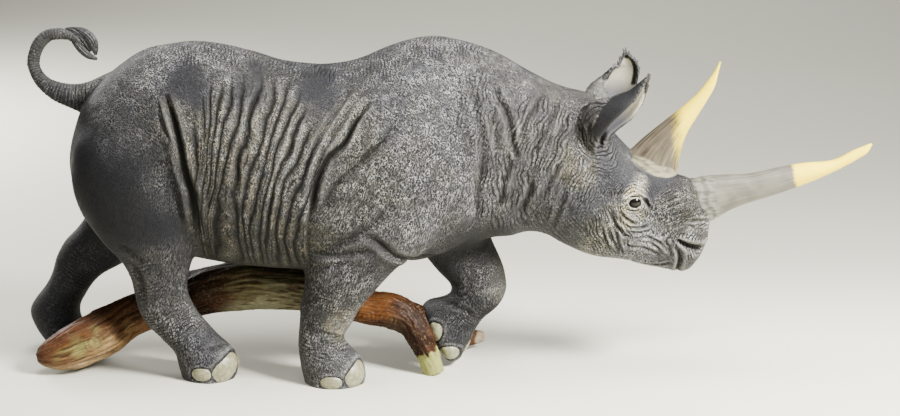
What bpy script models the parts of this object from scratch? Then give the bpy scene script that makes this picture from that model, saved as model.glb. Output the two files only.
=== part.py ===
"""A porcelain figurine: a black rhinoceros striding over a fallen branch.

Frame: +X towards the horns, +Y to the animal's left, +Z up, the origin on the ground under the
middle of the figure. The animal and the branch are two castings, luted together where the belly,
the hind leg and the raised forefoot touch the wood.
"""
import bmesh
import bpy
import numpy as np

# Driving dimensions, in metres
FIGURE_LENGTH = 0.608
BRANCH_DIAMETER = 0.035
LUTING_GAP = 0.0003
EAR_THICKNESS = 0.0030

# The animal is a free form: its stations are shares of its length, FIGURE_SHARES of them in all
FIGURE_SHARES = 608
SHARE = FIGURE_LENGTH / FIGURE_SHARES

# The size of the clay grain that the castings are smoothed at, and the facets that they keep
BODY_GRAIN = 2.4 * SHARE
FINE_GRAIN = 1.4 * SHARE
ANIMAL_FACETS = 6700
BRANCH_FACETS = 1600
RING_SIDES = 40

# Barrel, neck and head. Each row: underline x and z, topline x and z, half width, height share
# of the widest line
BARREL = [
    (-260, 144, -258, 175, 0, 23, 0.50),
    (-254, 121, -250, 196, 0, 38, 0.50),
    (-240, 102, -232, 217, 0, 47, 0.48),
    (-216, 91, -211, 232, 0, 53, 0.46),
    (-190, 88, -186, 238, 0, 56, 0.45),
    (-166, 83, -162, 239, 0, 59, 0.44),
    (-140, 79, -137, 234, 0, 62, 0.43),
    (-112, 77, -110, 226, 0, 63, 0.42),
    (-84, 77, -83, 224, 0, 63, 0.42),
    (-56, 79, -60, 227, 0, 62, 0.43),
    (-28, 83, -35, 237, 0, 59, 0.44),
    (-3, 87, -14, 244, 0, 55, 0.43),
    (20, 95, 2, 245, 0, 50, 0.42),
    (38, 101, 20, 241, 0, 45, 0.42),
    (52, 102, 38, 235, 0, 42, 0.43),
    (64, 105, 56, 225, 0, 39, 0.45),
    (76, 104, 73, 216, 0, 37, 0.47),
    (88, 97, 94, 206, 0, 36, 0.48),
    (101, 91, 110, 194, 0, 34, 0.48),
    (115, 87, 124, 177, 0, 31, 0.48),
    (129, 86, 138, 163, 0, 28, 0.48),
    (144, 83, 152, 155, 0, 25, 0.48),
    (156, 80, 166, 149, 0, 23, 0.50),
    (167, 78, 178, 145, 0, 21, 0.52),
    (176, 80, 187, 136, 0, 18, 0.55),
    (184, 87, 192, 122, 0, 14, 0.55),
    (188, 95, 191, 109, 0, 7, 0.50),
]

# Legs. Each row: rear x and z, front x and z, sideways place, half width
RIGHT_HIND_LEG = [
    (-238, 194, -182, 207, -26, 18),
    (-252, 173, -170, 175, -32, 24),
    (-254, 145, -165, 142, -35, 26),
    (-246, 120, -165, 116, -36, 25),
    (-233, 102, -168, 103, -36, 22),
    (-221, 88, -172, 91, -34, 19),
    (-215, 72, -176, 76, -31, 17),
    (-214, 55, -177, 64, -28, 16),
    (-207, 39, -172, 51, -26, 15.5),
    (-197, 29, -165, 41, -25, 15.5),
    (-188, 19, -157, 31, -24, 16.5),
    (-186, 10, -148, 22, -23, 18),
    (-184, 1, -143, 11, -22, 19),
    (-182, -7, -144, 2, -22, 19),
    (-178, -15, -147, -7, -22, 17),
]
RIGHT_FORE_LEG = [
    (-70, 176, 20, 178, -26, 20),
    (-80, 142, 14, 137, -32, 25),
    (-89, 110, -5, 102, -35, 24),
    (-92, 89, -24, 90, -36, 22),
    (-93, 72, -40, 73, -36, 19.5),
    (-96, 56, -53, 57, -34, 18),
    (-97, 42, -60, 43, -32, 16.5),
    (-98, 32, -66, 33, -31, 16.5),
    (-98, 21, -59, 24, -30, 18),
    (-97, 11, -53, 15, -29, 19.5),
    (-95, 1, -51, 5, -28, 20),
    (-93, -8, -53, -5, -28, 20),
    (-89, -15, -57, -13, -28, 17),
]
LEFT_HIND_LEG = [
    (-232, 180, -178, 195, 24, 20),
    (-246, 152, -176, 150, 29, 24),
    (-252, 131, -192, 124, 30, 24),
    (-258, 108, -208, 98, 30, 21),
    (-268, 93, -231, 70, 29, 18),
    (-277, 84, -247, 61, 28, 16.5),
    (-283, 73, -257, 52, 28, 15.5),
    (-286, 62, -263, 43, 27, 15),
    (-292, 51, -267, 35, 27, 15.5),
    (-299, 42, -267, 27, 27, 17),
    (-304, 33, -264, 20, 27, 19),
    (-301, 22, -259, 12, 27, 20),
    (-293, 10, -256, 3, 27, 19),
    (-285, -2, -257, -6, 27, 15),
]
LEFT_FORE_LEG = [
    (-20, 150, 40, 152, 22, 20),
    (-24, 111, 30, 122, 21, 20),
    (-14, 84, 37, 94, 19, 19),
    (-3, 71, 43, 80, 17, 18),
    (6, 62, 47, 68, 16, 17.5),
    (9, 57, 48, 56, 15, 17),
    (6, 52, 43, 45, 15, 16.5),
    (-2, 49, 32, 35, 15, 16.5),
    (-10, 47, 26, 26, 15, 17),
    (-14, 41, 23, 20, 15, 18.5),
    (-11, 30, 20, 14, 15, 19),
    (-5, 18, 17, 9, 15, 18),
    (1, 9, 15, 5, 15, 14),
    (4, 5, 13, 3, 15, 9),
]

# Tail. Each row: outer x and z, inner x and z, sideways place, half width
TAIL = [
    (-236, 172, -212, 216, 0, 9),
    (-248, 184, -223, 221, 0, 8.5),
    (-253, 187, -237, 215, 0, 8),
    (-262, 191, -248, 210, 0, 7.2),
    (-271, 195, -258, 208, 0, 6.4),
    (-279, 200, -268, 209, 0, 5.6),
    (-285, 206, -274, 211, 0, 5),
    (-289, 214, -279, 215, 0, 4.5),
    (-291, 223, -282, 221, 0, 4.2),
    (-289, 232, -281, 228, 0, 4),
    (-285, 240, -278, 234, 0, 4),
    (-278, 246, -273, 239, 0, 3.8),
    (-269, 248, -267, 240, 0, 3.8),
    (-261, 247, -262, 240, 0, 3.8),
    (-254, 245, -258, 238, 0, 4.4),
    (-247, 242, -256, 233, 0, 5.2),
    (-241, 237, -251, 228, 0, 5.4),
    (-238, 229, -246, 223, 0, 4.4),
    (-239, 222, -243, 220, 0, 2),
]

# Horns. Each row: lower x and z, upper x and z, sideways place, half width
FRONT_HORN = [
    (176, 108, 160, 136, 0, 12),
    (190, 114, 176, 143, 0, 13),
    (201, 120, 194, 147, 0, 12.5),
    (216, 127, 219, 149, 0, 11),
    (237, 134, 241, 154, 0, 9.4),
    (255, 141, 256, 157, 0, 7.8),
    (277, 151, 278, 160, 0, 5),
    (293, 160, 291, 167, 0, 3.2),
    (301, 166, 299, 170.5, 0, 1.9),
    (303.5, 171, 302.5, 172, 0, 0.6),
]
REAR_HORN = [
    (156, 122, 126, 140, 0, 12),
    (165, 136, 129, 154, 0, 13),
    (167.5, 150, 134.5, 164, 0, 12.5),
    (170, 163, 145, 175, 0, 10.8),
    (174, 177, 158, 186, 0, 8.4),
    (180.5, 189, 170, 196, 0, 6.2),
    (187.5, 201, 180.3, 206, 0, 4.4),
    (193, 212, 188, 216, 0, 2.8),
    (195, 221, 192.5, 223, 0, 1.6),
    (196.5, 228.5, 195.5, 229, 0, 0.5),
]

# Ears, each a leaf rolled about a middle line, and the way that its cup opens. Each row: x, y and
# z of the middle line, the roll's radius and its half angle in degrees
NEAR_EAR = [
    (110, -22, 168, 6.0, 145),
    (110.5, -25, 178, 8.0, 142),
    (113, -27, 186, 9.6, 138),
    (118.5, -28, 193, 11.3, 132),
    (129, -30, 201, 10.8, 122),
    (137.5, -31, 209, 7.4, 112),
    (142, -32, 217, 4.6, 102),
    (145.5, -32, 225, 0.9, 92),
]
NEAR_EAR_OPENS = (0.68, -0.57, -0.45)
FAR_EAR = [
    (119, 17, 178, 8.5, 95),
    (120.5, 20, 186, 10.5, 93),
    (122, 21, 193, 13.0, 90),
    (124.5, 22, 200, 14.6, 87),
    (127.5, 22.5, 207, 13.2, 84),
    (130, 23, 213, 11.4, 80),
    (131.8, 23.5, 219, 9.2, 76),
    (131.4, 24, 225, 5.2, 72),
    (130.5, 24, 230.5, 0.9, 68),
]
FAR_EAR_OPENS = (0.45, -0.88, 0.10)

# Toenails. Each row: x, y and z of its middle on the foot, its bearing from straight ahead, how
# far it tilts, its half width and half height
NAIL_HALF_DEPTH = 3.6
NAIL_STANDS_OUT = 1.3
TOENAILS = [
    (-147.2, -33.9, 10.2, -38, 30, 14.0, 8.0),
    (-167.5, -43.0, 7.2, -98, 0, 7.6, 4.8),
    (-144.6, -13.5, 8.5, 25, 0, 7.5, 7.5),
    (-55.7, -38.8, 9.0, -32, 32, 11.8, 7.4),
    (-73.5, -50.0, 5.0, -90, 0, 8.5, 4.6),
    (-53.5, -17.5, 8.5, 18, 0, 8.0, 7.5),
    (-3.0, -0.5, 28.5, -125, -12, 6.4, 7.8),
    (7.4, -1.5, 12.8, -92, 0, 8.0, 6.0),
    (22.0, 15.5, 13.0, 5, 0, 6.5, 6.0),
    (-263.5, 12.5, 10.0, -60, 0, 7.5, 7.5),
    (-255.0, 27.0, 10.0, 0, 0, 8.0, 7.5),
    (-263.5, 41.5, 10.0, 60, 0, 7.5, 7.5),
]

# Swellings and hollows of the form. Each row: x, y, z, reach along x, y and z, height
SWELLINGS = [
    (-205, 0, 150, 34, 200, 42, 2.0),
    (-28, -58, 190, 26, 30, 34, 2.5),
    (-28, 58, 190, 26, 30, 34, 2.5),
    (112, -34, 128, 15, 18, 18, 3.0),
    (112, 34, 128, 15, 18, 18, 3.0),
    (134, -26, 145, 13, 14, 6, 2.6),
    (134, 26, 145, 13, 14, 6, 2.6),
    (138, -25, 134, 6, 8, 5, 1.6),
    (138, 25, 134, 6, 8, 5, 1.6),
    (182, 0, 106, 8, 30, 9, 2.2),
    (158, -22, 118, 12, 14, 10, -2.0),
    (158, 22, 118, 12, 14, 10, -2.0),
    (180, -17, 101, 5, 8, 3.5, -3.0),
    (180, 17, 101, 5, 8, 3.5, -3.0),
    (60, 0, 120, 12, 60, 18, -2.0),
]

# Folds of the hide, on both sides. Each row: the fold's x and z points, depth, half width
FOLDS = [
    ([(-187, 211), (-180, 197), (-175, 180), (-171, 161), (-167, 146), (-165, 110)], 3.6, 2.8),
    ([(-43, 208), (-54, 194), (-62, 180), (-73, 170), (-80, 155), (-83, 140), (-86, 121)], 3.4, 2.8),
    ([(-26, 200), (-42, 176), (-60, 160), (-75, 139), (-82, 120)], 2.0, 3.0),
    ([(-48, 118), (-37, 110), (-27, 101), (-12, 93), (7, 91), (24, 106)], 2.0, 2.8),
    ([(-27, 149), (-30, 138), (-44, 123), (-56, 114), (-70, 107)], 1.6, 2.8),
    ([(-72, 201), (-83, 177), (-92, 154), (-100, 126), (-103, 112)], 1.6, 2.4),
    ([(-120, 216), (-128, 196), (-134, 171), (-134, 156), (-136, 120)], 1.6, 2.4),
    ([(-95, 204), (-102, 189), (-108, 171), (-115, 148), (-120, 128)], 1.6, 2.4),
    ([(21, 228), (30, 194), (33, 178), (30, 144), (23, 115)], 2.0, 2.8),
    ([(39, 219), (47, 202), (53, 180), (55, 160)], 2.2, 2.6),
    ([(49, 172), (51, 165), (45, 137), (38, 127)], 2.0, 2.4),
    ([(87, 208), (78, 190), (69, 174), (67, 167)], 2.0, 2.4),
    ([(66, 154), (66, 145), (62, 135), (59, 126)], 2.0, 2.4),
    ([(168, 106), (173, 103), (177, 101), (182, 99), (187, 96)], 2.6, 1.8),
]

# The branch. Each row: x, y and z of its middle and its radius, in shares of the trunk's radius
TRUNK_RADIUS_SHARES = 17.5
TRUNK = [
    (-287, -24, 13, 4),
    (-281, -24, 14, 9),
    (-271, -22, 16, 13.5),
    (-256, -18, 21.5, 16),
    (-242, -11, 27.5, 16.5),
    (-230, -3, 34, 14.5),
    (-212, 5, 40, 14),
    (-192, 9, 46.5, 16),
    (-168, 11, 54, 16.5),
    (-137, 10, 58.5, 17.5),
    (-102, 8, 57, 15.7),
    (-72, 4, 51.5, 13.7),
    (-49, 1, 45.5, 12),
    (-31, -1, 43.5, 12),
    (-20, -3, 37, 10.4),
    (-13.5, -6, 27, 9),
    (-8, -8, 15, 8.2),
    (-3, -9, 0, 7.6),
]
SIDE_SHOOT = [
    (-40, 0, 43, 10),
    (-24, 6, 37, 11.5),
    (-8, 18, 28, 10),
    (6, 32, 18, 8),
    (18, 44, 10, 6.6),
    (30, 50, 9, 6.2),
]
KNOTS = [
    (-246, -34, 34, 8, 8, 7, 2.5),
    (-170, -12, 60, 9, 9, 9, 2.5),
    (-118, -14, 60, 11, 9, 9, 3.0),
    (-40, -12, 48, 9, 8, 8, 3.0),
    (-62, -8, 66, 8, 8, 6, 2.0),
    (-205, -14, 44, 8, 9, 7, -2.0),
]


def between(rows, steps):
    """Rows in between the given ones: a cubic curve through them, by distance along the form."""
    rows = np.array(rows, float)
    strides = np.linalg.norm(np.diff(rows[:, :4], axis=0), axis=1)
    reach = np.concatenate(([0.0], np.cumsum(strides)))
    slope = np.gradient(rows, reach, axis=0)
    share = np.linspace(0, 1, steps, endpoint=False)[None, :, None]
    stride = strides[:, None, None]
    start, end = rows[:-1, None], rows[1:, None]
    leave, arrive = slope[:-1, None] * stride, slope[1:, None] * stride
    curve = (start * (1 + 2 * share) * (1 - share) ** 2 + leave * share * (1 - share) ** 2
             + end * share ** 2 * (3 - 2 * share) + arrive * share ** 2 * (share - 1))
    return np.concatenate((curve.reshape(-1, rows.shape[1]), rows[-1:]))


def skin_over(rings):
    """Points and faces of a closed tube over rings of equal count, with a flat cap at each end."""
    count, sides = rings.shape[:2]
    index = np.arange(count * sides).reshape(count, sides)
    ahead = np.roll(index, -1, axis=1)
    quads = np.stack((index[:-1], ahead[:-1], ahead[1:], index[1:]), axis=-1).reshape(-1, 4)
    faces = quads.tolist() + [index[0][::-1].tolist(), index[-1].tolist()]
    return rings.reshape(-1, 3), faces


def loft(rows, steps=4, sides=RING_SIDES):
    """A body from side view rows: each ring is an oval that runs from the row's first point to its
    second and back, out to the half width at the height share of the widest line."""
    rows = between(rows, steps)
    first, second = rows[:, None, 0:2], rows[:, None, 2:4]
    sideways, half_width = rows[:, None, 4], rows[:, None, 5]
    widest = rows[:, None, 6] if rows.shape[1] > 6 else 0.5
    turn = np.linspace(0, 2 * np.pi, sides, endpoint=False)[None, :]
    lift = -np.cos(turn)
    height = widest + np.where(lift > 0, 1 - widest, widest) * lift
    along = first + (second - first) * height[..., None]
    side = sideways + half_width * np.sin(turn)
    return skin_over(np.stack((along[..., 0], side, along[..., 1]), axis=-1))


def ear(rows, opening, thickness):
    """A rolled leaf: at each row an arc about the ear's middle line, of the row's radius and rolled
    by its half angle to both sides, with an outer and an inner face."""
    rows = between(rows, 4)
    middle, radius, angle = rows[:, :3], rows[:, 3, None], np.radians(rows[:, 4, None])
    ahead = np.gradient(middle, axis=0)
    ahead /= np.linalg.norm(ahead, axis=1)[:, None]
    facing = np.array(opening) - ahead * (ahead @ np.array(opening))[:, None]
    facing /= np.linalg.norm(facing, axis=1)[:, None]
    across = np.cross(ahead, facing)
    sweep = np.linspace(-1, 1, 17)[None, :] * angle
    faces = []
    for inset, order in ((0.0, 1), (thickness, -1)):
        arc = np.maximum(radius - inset, 0.3 * radius)
        out = (arc * np.sin(sweep))[..., None]
        back = (-arc * np.cos(sweep))[..., None]
        ring = middle[:, None] + out * across[:, None] + back * facing[:, None]
        faces.append(ring[:, ::order])
    return skin_over(np.concatenate(faces, axis=1))


def tube(rows, steps=4, sides=24):
    """A round branch through x, y, z and radius rows, its rings square to the way it runs."""
    rows = np.array(rows, float)
    rows = between(rows, steps)
    middle, radius = rows[:, :3], rows[:, 3]
    ahead = np.gradient(middle, axis=0)
    ahead /= np.linalg.norm(ahead, axis=1)[:, None]
    across = np.cross(ahead, (0.0, 0.0, 1.0))
    across /= np.linalg.norm(across, axis=1)[:, None]
    rise = np.cross(across, ahead)
    turn = np.linspace(0, 2 * np.pi, sides, endpoint=False)[None, :, None]
    spoke = across[:, None] * np.cos(turn) + rise[:, None] * np.sin(turn)
    return skin_over(middle[:, None] + spoke * radius[:, None, None])


def toenail(x, y, z, bearing, tilt, half_width, half_height):
    """An oval of nail on a foot, its flat facing the bearing and its width tilted in that flat."""
    bearing, tilt = np.radians(bearing), np.radians(tilt)
    outward = np.array((np.cos(bearing), np.sin(bearing), 0.0))
    level = np.array((-np.sin(bearing), np.cos(bearing), 0.0))
    upward = np.array((0.0, 0.0, 1.0))
    width = level * np.cos(tilt) + upward * np.sin(tilt)
    height = upward * np.cos(tilt) - level * np.sin(tilt)
    middle = np.array((x, y, z)) - outward * (NAIL_HALF_DEPTH - NAIL_STANDS_OUT)
    return oval(middle, outward * NAIL_HALF_DEPTH, width * half_width, height * half_height)


def oval(middle, first, second, third, rings=9, sides=16):
    """An ellipsoid on three half axes."""
    lift = np.linspace(-np.pi / 2, np.pi / 2, rings + 2)[1:-1, None, None]
    turn = np.linspace(0, 2 * np.pi, sides, endpoint=False)[None, :, None]
    axes = [np.array(half, float) for half in (first, second, third)]
    points = (np.cos(lift) * np.cos(turn) * axes[0] + np.cos(lift) * np.sin(turn) * axes[1]
              + np.sin(lift) * axes[2])
    return skin_over(np.array(middle, float) + points)


def cast(name, shells):
    """One object from several closed shells."""
    points, faces, start = [], [], 0
    for shell_points, shell_faces in shells:
        points.append(shell_points)
        faces.extend([[index + start for index in face] for face in shell_faces])
        start += len(shell_points)
    mesh = bpy.data.meshes.new(name)
    mesh.from_pydata((np.concatenate(points) * SHARE).tolist(), [], faces)
    piece = bpy.data.objects.new(name, mesh)
    bpy.context.scene.collection.objects.link(piece)
    return piece


def settle(piece):
    """Put the result of the piece's modifiers into its mesh."""
    graph = bpy.context.evaluated_depsgraph_get()
    mesh = bpy.data.meshes.new_from_object(piece.evaluated_get(graph))
    piece.modifiers.clear()
    piece.data = mesh


def fuse(piece, grain):
    """Melt the shells of a piece into one skin, as coarse as the grain."""
    melt = piece.modifiers.new("melt", "REMESH")
    melt.mode = "VOXEL"
    melt.voxel_size = grain
    settle(piece)


def surface(mesh):
    """The mesh's points, edges and outward directions as arrays."""
    points = np.empty(len(mesh.vertices) * 3)
    mesh.vertices.foreach_get("co", points)
    edges = np.empty(len(mesh.edges) * 2, np.int64)
    mesh.edges.foreach_get("vertices", edges)
    outward = np.empty(len(mesh.vertices) * 3)
    mesh.vertex_normals.foreach_get("vector", outward)
    return points.reshape(-1, 3), edges.reshape(-1, 2), outward.reshape(-1, 3)


def reshape(mesh, points):
    """Give the mesh new places for its points."""
    mesh.vertices.foreach_set("co", points.astype(np.float32).ravel())
    mesh.update()


def soften(piece, passes, rate=0.5, hollows_only=False):
    """Move each point towards the middle of its neighbours, and with hollows_only only along the
    outward direction and only out of hollows, as a thumb of clay laid into a corner."""
    mesh = piece.data
    points, edges, outward = surface(mesh)
    first, second = edges[:, 0], edges[:, 1]
    near = np.bincount(edges.ravel(), minlength=len(points))[:, None]
    for _ in range(passes):
        total = np.empty_like(points)
        for axis in range(3):
            total[:, axis] = (np.bincount(first, points[second, axis], len(points))
                              + np.bincount(second, points[first, axis], len(points)))
        shift = total / near - points
        if hollows_only:
            lift = np.maximum(np.einsum("ij,ij->i", shift, outward), 0.0)
            shift = outward * lift[:, None]
        points = points + shift * rate
        if hollows_only:
            reshape(mesh, points)
            outward = surface(mesh)[2]
    reshape(mesh, points)


def swelling(points, row):
    """Height of a smooth mound or hollow at each point, in shares."""
    x, y, z, reach_x, reach_y, reach_z, height = row
    offset = (points - (x, y, z)) / (reach_x, reach_y, reach_z)
    return height * np.exp(-np.einsum("ij,ij->i", offset, offset))


def fold(points, line, depth, half_width):
    """Depth of a fold at each point: a groove along a line in side view, with a low roll of hide
    on both sides, fading out towards its ends."""
    line = between([(x, z, 0, 0) for x, z in line], 6)[:, :2]
    place = points[:, 0::2]
    best = np.full(len(points), 1e9)
    share = np.zeros(len(points))
    for index, (start, end) in enumerate(zip(line[:-1], line[1:])):
        way = end - start
        along = np.clip((place - start) @ way / (way @ way), 0, 1)
        gap = np.linalg.norm(place - start - along[:, None] * way, axis=1)
        closer = gap < best
        best[closer] = gap[closer]
        share[closer] = (index + along[closer]) / (len(line) - 1)
    fade = np.clip(np.minimum(share, 1 - share) / 0.22, 0, 1) ** 0.5
    groove = -np.exp(-(best / half_width) ** 2)
    rolls = 0.55 * np.exp(-((best - 2.1 * half_width) / (1.1 * half_width)) ** 2)
    return depth * fade * (groove + rolls)


def model(piece, mounds, folds=()):
    """Work the mounds and folds into the skin, along its outward direction."""
    points, _, outward = surface(piece.data)
    place = points / SHARE
    height = sum(swelling(place, row) for row in mounds)
    for line, depth, half_width in folds:
        height = height + fold(place, line, depth, half_width)
    reshape(piece.data, points + outward * (height * SHARE)[:, None])


def thin_out(piece, facets):
    """Bring the skin down to a number of triangles, fewest where it is plain."""
    fewer = piece.modifiers.new("fewer facets", "DECIMATE")
    fewer.ratio = facets / (2 * len(piece.data.polygons))
    fewer.use_collapse_triangulate = True
    settle(piece)


def join_meshes(piece, other):
    """Add another piece's shells to this one, still apart."""
    together = bmesh.new()
    together.from_mesh(piece.data)
    together.from_mesh(other.data)
    together.to_mesh(piece.data)
    together.free()
    bpy.data.objects.remove(other)


def unite(piece, other):
    """Join another closed piece into this one."""
    join = piece.modifiers.new("join", "BOOLEAN")
    join.operation = "UNION"
    join.object = other
    settle(piece)
    bpy.data.objects.remove(other)


def cut_away(piece, cutter):
    """Take the cutter's space out of the piece."""
    cut = piece.modifiers.new("cut", "BOOLEAN")
    cut.operation = "DIFFERENCE"
    cut.object = cutter
    settle(piece)


def ground_block():
    """Everything under the ground, as a block to cut away."""
    reach = 2 * FIGURE_SHARES
    corners = [(x, y, z) for z in (-60, 0) for y in (-reach, reach) for x in (-reach, reach)]
    faces = [(0, 2, 3, 1), (4, 5, 7, 6), (0, 1, 5, 4), (2, 6, 7, 3), (0, 4, 6, 2), (1, 3, 7, 5)]
    return cast("ground", [(np.array(corners, float), faces)])


def glazed(name, colour, roughness):
    """Painted porcelain."""
    finish = bpy.data.materials.new(name)
    finish.use_nodes = True
    shader = finish.node_tree.nodes["Principled BSDF"]
    shader.inputs["Base Color"].default_value = (*colour, 1)
    shader.inputs["Roughness"].default_value = roughness
    return finish


def make_animal():
    """The rhinoceros: barrel and legs first, softened where they meet, then ears, tail, nails and
    folds, and the horns last, joined on sharp."""
    limbs = [RIGHT_HIND_LEG, RIGHT_FORE_LEG, LEFT_HIND_LEG, LEFT_FORE_LEG]
    animal = cast("rhinoceros", [loft(rows) for rows in (BARREL, *limbs)])
    fuse(animal, BODY_GRAIN)
    soften(animal, 10, 0.6, hollows_only=True)
    soften(animal, 3)
    thickness = EAR_THICKNESS / SHARE
    extras = [loft(TAIL), ear(NEAR_EAR, NEAR_EAR_OPENS, thickness)]
    extras.append(ear(FAR_EAR, FAR_EAR_OPENS, thickness))
    extras.extend(toenail(*row) for row in TOENAILS)
    trimmings = cast("trimmings", extras)
    join_meshes(animal, trimmings)
    fuse(animal, FINE_GRAIN)
    soften(animal, 2)
    model(animal, SWELLINGS, FOLDS)
    soften(animal, 1)
    thin_out(animal, ANIMAL_FACETS)
    for rows in (FRONT_HORN, REAR_HORN):
        unite(animal, cast("horn", [loft(rows, steps=2, sides=14)]))
    return animal


def make_branch():
    """The fallen branch with its fork, knots and flat rest on the ground."""
    girth = BRANCH_DIAMETER / 2 / SHARE / TRUNK_RADIUS_SHARES
    runs = [[(x, y, z, radius * girth) for x, y, z, radius in rows] for rows in (TRUNK, SIDE_SHOOT)]
    branch = cast("branch", [tube(rows) for rows in runs])
    fuse(branch, FINE_GRAIN)
    soften(branch, 8, 0.6, hollows_only=True)
    model(branch, KNOTS)
    thin_out(branch, BRANCH_FACETS)
    return branch


def inflated(piece, gap):
    """A copy of the piece, larger all over by the gap, to cut its bed with."""
    copy = bpy.data.objects.new("bed cutter", piece.data.copy())
    bpy.context.scene.collection.objects.link(copy)
    swell = copy.modifiers.new("gap", "DISPLACE")
    swell.strength = gap
    swell.mid_level = 0
    settle(copy)
    return copy


for old in list(bpy.data.objects):
    bpy.data.objects.remove(old)

ground = ground_block()
animal = make_animal()
cut_away(animal, ground)
branch = make_branch()
bed = inflated(animal, 1.5 * LUTING_GAP)
cut_away(branch, bed)
cut_away(branch, ground)
for cutter in (bed, ground):
    bpy.data.objects.remove(cutter)

animal.data.materials.clear()
branch.data.materials.clear()
animal.data.materials.append(glazed("grey hide", (0.14, 0.145, 0.16), 0.6))
branch.data.materials.append(glazed("brown bark", (0.25, 0.14, 0.08), 0.6))
for piece in (animal, branch):
    piece.data.shade_smooth()
    piece.data.set_sharp_from_angle(angle=0.9)
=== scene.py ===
"""A hand painted porcelain figurine: a black rhinoceros striding over a fallen branch.

Sizes are in millimetres, in the frame's own axes: x towards the horns, y to the animal's left and
z up from the ground. The camera looks at the animal's right side.
"""

import bmesh
import bpy
import numpy as np
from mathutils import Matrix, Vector
from mathutils.bvhtree import BVHTree


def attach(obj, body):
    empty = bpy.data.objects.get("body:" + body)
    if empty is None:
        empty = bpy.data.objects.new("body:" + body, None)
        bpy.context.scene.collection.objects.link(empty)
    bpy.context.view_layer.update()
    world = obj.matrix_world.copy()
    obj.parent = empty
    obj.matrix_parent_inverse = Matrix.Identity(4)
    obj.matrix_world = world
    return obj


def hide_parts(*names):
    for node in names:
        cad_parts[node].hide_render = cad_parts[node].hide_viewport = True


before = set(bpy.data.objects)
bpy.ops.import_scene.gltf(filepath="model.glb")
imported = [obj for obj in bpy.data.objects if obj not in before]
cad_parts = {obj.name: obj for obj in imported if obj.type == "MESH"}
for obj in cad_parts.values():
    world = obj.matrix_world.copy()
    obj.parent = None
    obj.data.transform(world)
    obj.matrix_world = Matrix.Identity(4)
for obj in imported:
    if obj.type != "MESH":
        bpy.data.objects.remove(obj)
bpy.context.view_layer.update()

# The hide
# Bisque porcelain in one skin: barrel, head, legs, ears and tail. It is lofted through sections,
# worked over with folds, and painted with a dark wash and a dry brush. The feet stand on the ground.
MM = 0.001
BODY_GRAIN = 2.0
SKIN_GRAIN = 0.95
HIDE_FACETS = 186000
# From what x the head keeps its finest facets
FINE_FROM = 96.5
RING_STEPS = 6
RING_SIDES = 72
TAIL_SIDES = 40
EAR_SIDES = 37
# How often clay is laid into the corners of the body, and how often body and skin are smoothed
CORNER_PASSES = 15
BODY_PASSES = 4
SKIN_PASSES = 3

# Each row: underline x and z, topline x and z, sideways place, half width, share of the widest line
BARREL = [
    (-260, 144, -258, 175, 0, 23, 0.50),
    (-254, 121, -250, 196, 0, 38, 0.50),
    (-240, 102, -232, 217, 0, 47, 0.48),
    (-216, 91, -211, 232, 0, 53, 0.46),
    (-190, 88, -186, 238, 0, 56, 0.45),
    (-166, 83, -162, 239, 0, 59, 0.44),
    (-140, 79, -137, 234, 0, 62, 0.43),
    (-112, 77, -110, 226, 0, 63, 0.42),
    (-84, 77, -83, 224, 0, 63, 0.42),
    (-56, 79, -60, 227, 0, 62, 0.43),
    (-28, 83, -35, 237, 0, 59, 0.44),
    (-3, 87, -14, 244, 0, 55, 0.43),
    (20, 95, 2, 245, 0, 50, 0.42),
    (38, 101, 20, 241, 0, 45, 0.42),
    (52, 102, 38, 235, 0, 42, 0.43),
    (64, 105, 56, 225, 0, 39, 0.45),
    (76, 104, 73, 216, 0, 37, 0.47),
    (88, 97, 94, 206, 0, 36, 0.48),
    (101, 91, 110, 194, 0, 34, 0.48),
    (115, 87, 124, 177, 0, 31, 0.48),
    (129, 86, 138, 163, 0, 28, 0.48),
    (144, 83, 152, 155, 0, 25, 0.48),
    (156, 80, 166, 149, 0, 23, 0.50),
    (167, 78, 178, 145, 0, 21, 0.52),
    (176, 80, 187, 136, 0, 18, 0.55),
    (184, 87, 192, 122, 0, 14, 0.55),
    (188, 95, 191, 109, 0, 7, 0.50),
]
# Each row: rear x and z, front x and z, sideways place, half width
RIGHT_HIND_LEG = [
    (-238, 194, -182, 207, -26, 18),
    (-252, 173, -170, 175, -32, 24),
    (-254, 145, -165, 142, -35, 26),
    (-246, 120, -165, 116, -36, 25),
    (-233, 102, -168, 103, -36, 22),
    (-221, 88, -172, 91, -34, 19),
    (-215, 72, -176, 76, -31, 17),
    (-214, 55, -177, 64, -28, 16),
    (-207, 39, -172, 51, -26, 15.5),
    (-197, 29, -165, 41, -25, 15.5),
    (-188, 19, -157, 31, -24, 16.5),
    (-186, 10, -148, 22, -23, 18),
    (-184, 1, -143, 11, -22, 19),
    (-182, -7, -144, 2, -22, 19),
    (-178, -15, -147, -7, -22, 17),
]
RIGHT_FORE_LEG = [
    (-70, 176, 20, 178, -26, 20),
    (-80, 142, 14, 137, -32, 25),
    (-89, 110, -5, 102, -35, 24),
    (-92, 89, -24, 90, -36, 22),
    (-93, 72, -40, 73, -36, 19.5),
    (-96, 56, -53, 57, -34, 18),
    (-97, 42, -60, 43, -32, 16.5),
    (-98, 32, -66, 33, -31, 16.5),
    (-98, 21, -59, 24, -30, 18),
    (-97, 11, -53, 15, -29, 19.5),
    (-95, 1, -51, 5, -28, 20),
    (-93, -8, -53, -5, -28, 20),
    (-89, -15, -57, -13, -28, 17),
]
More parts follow.
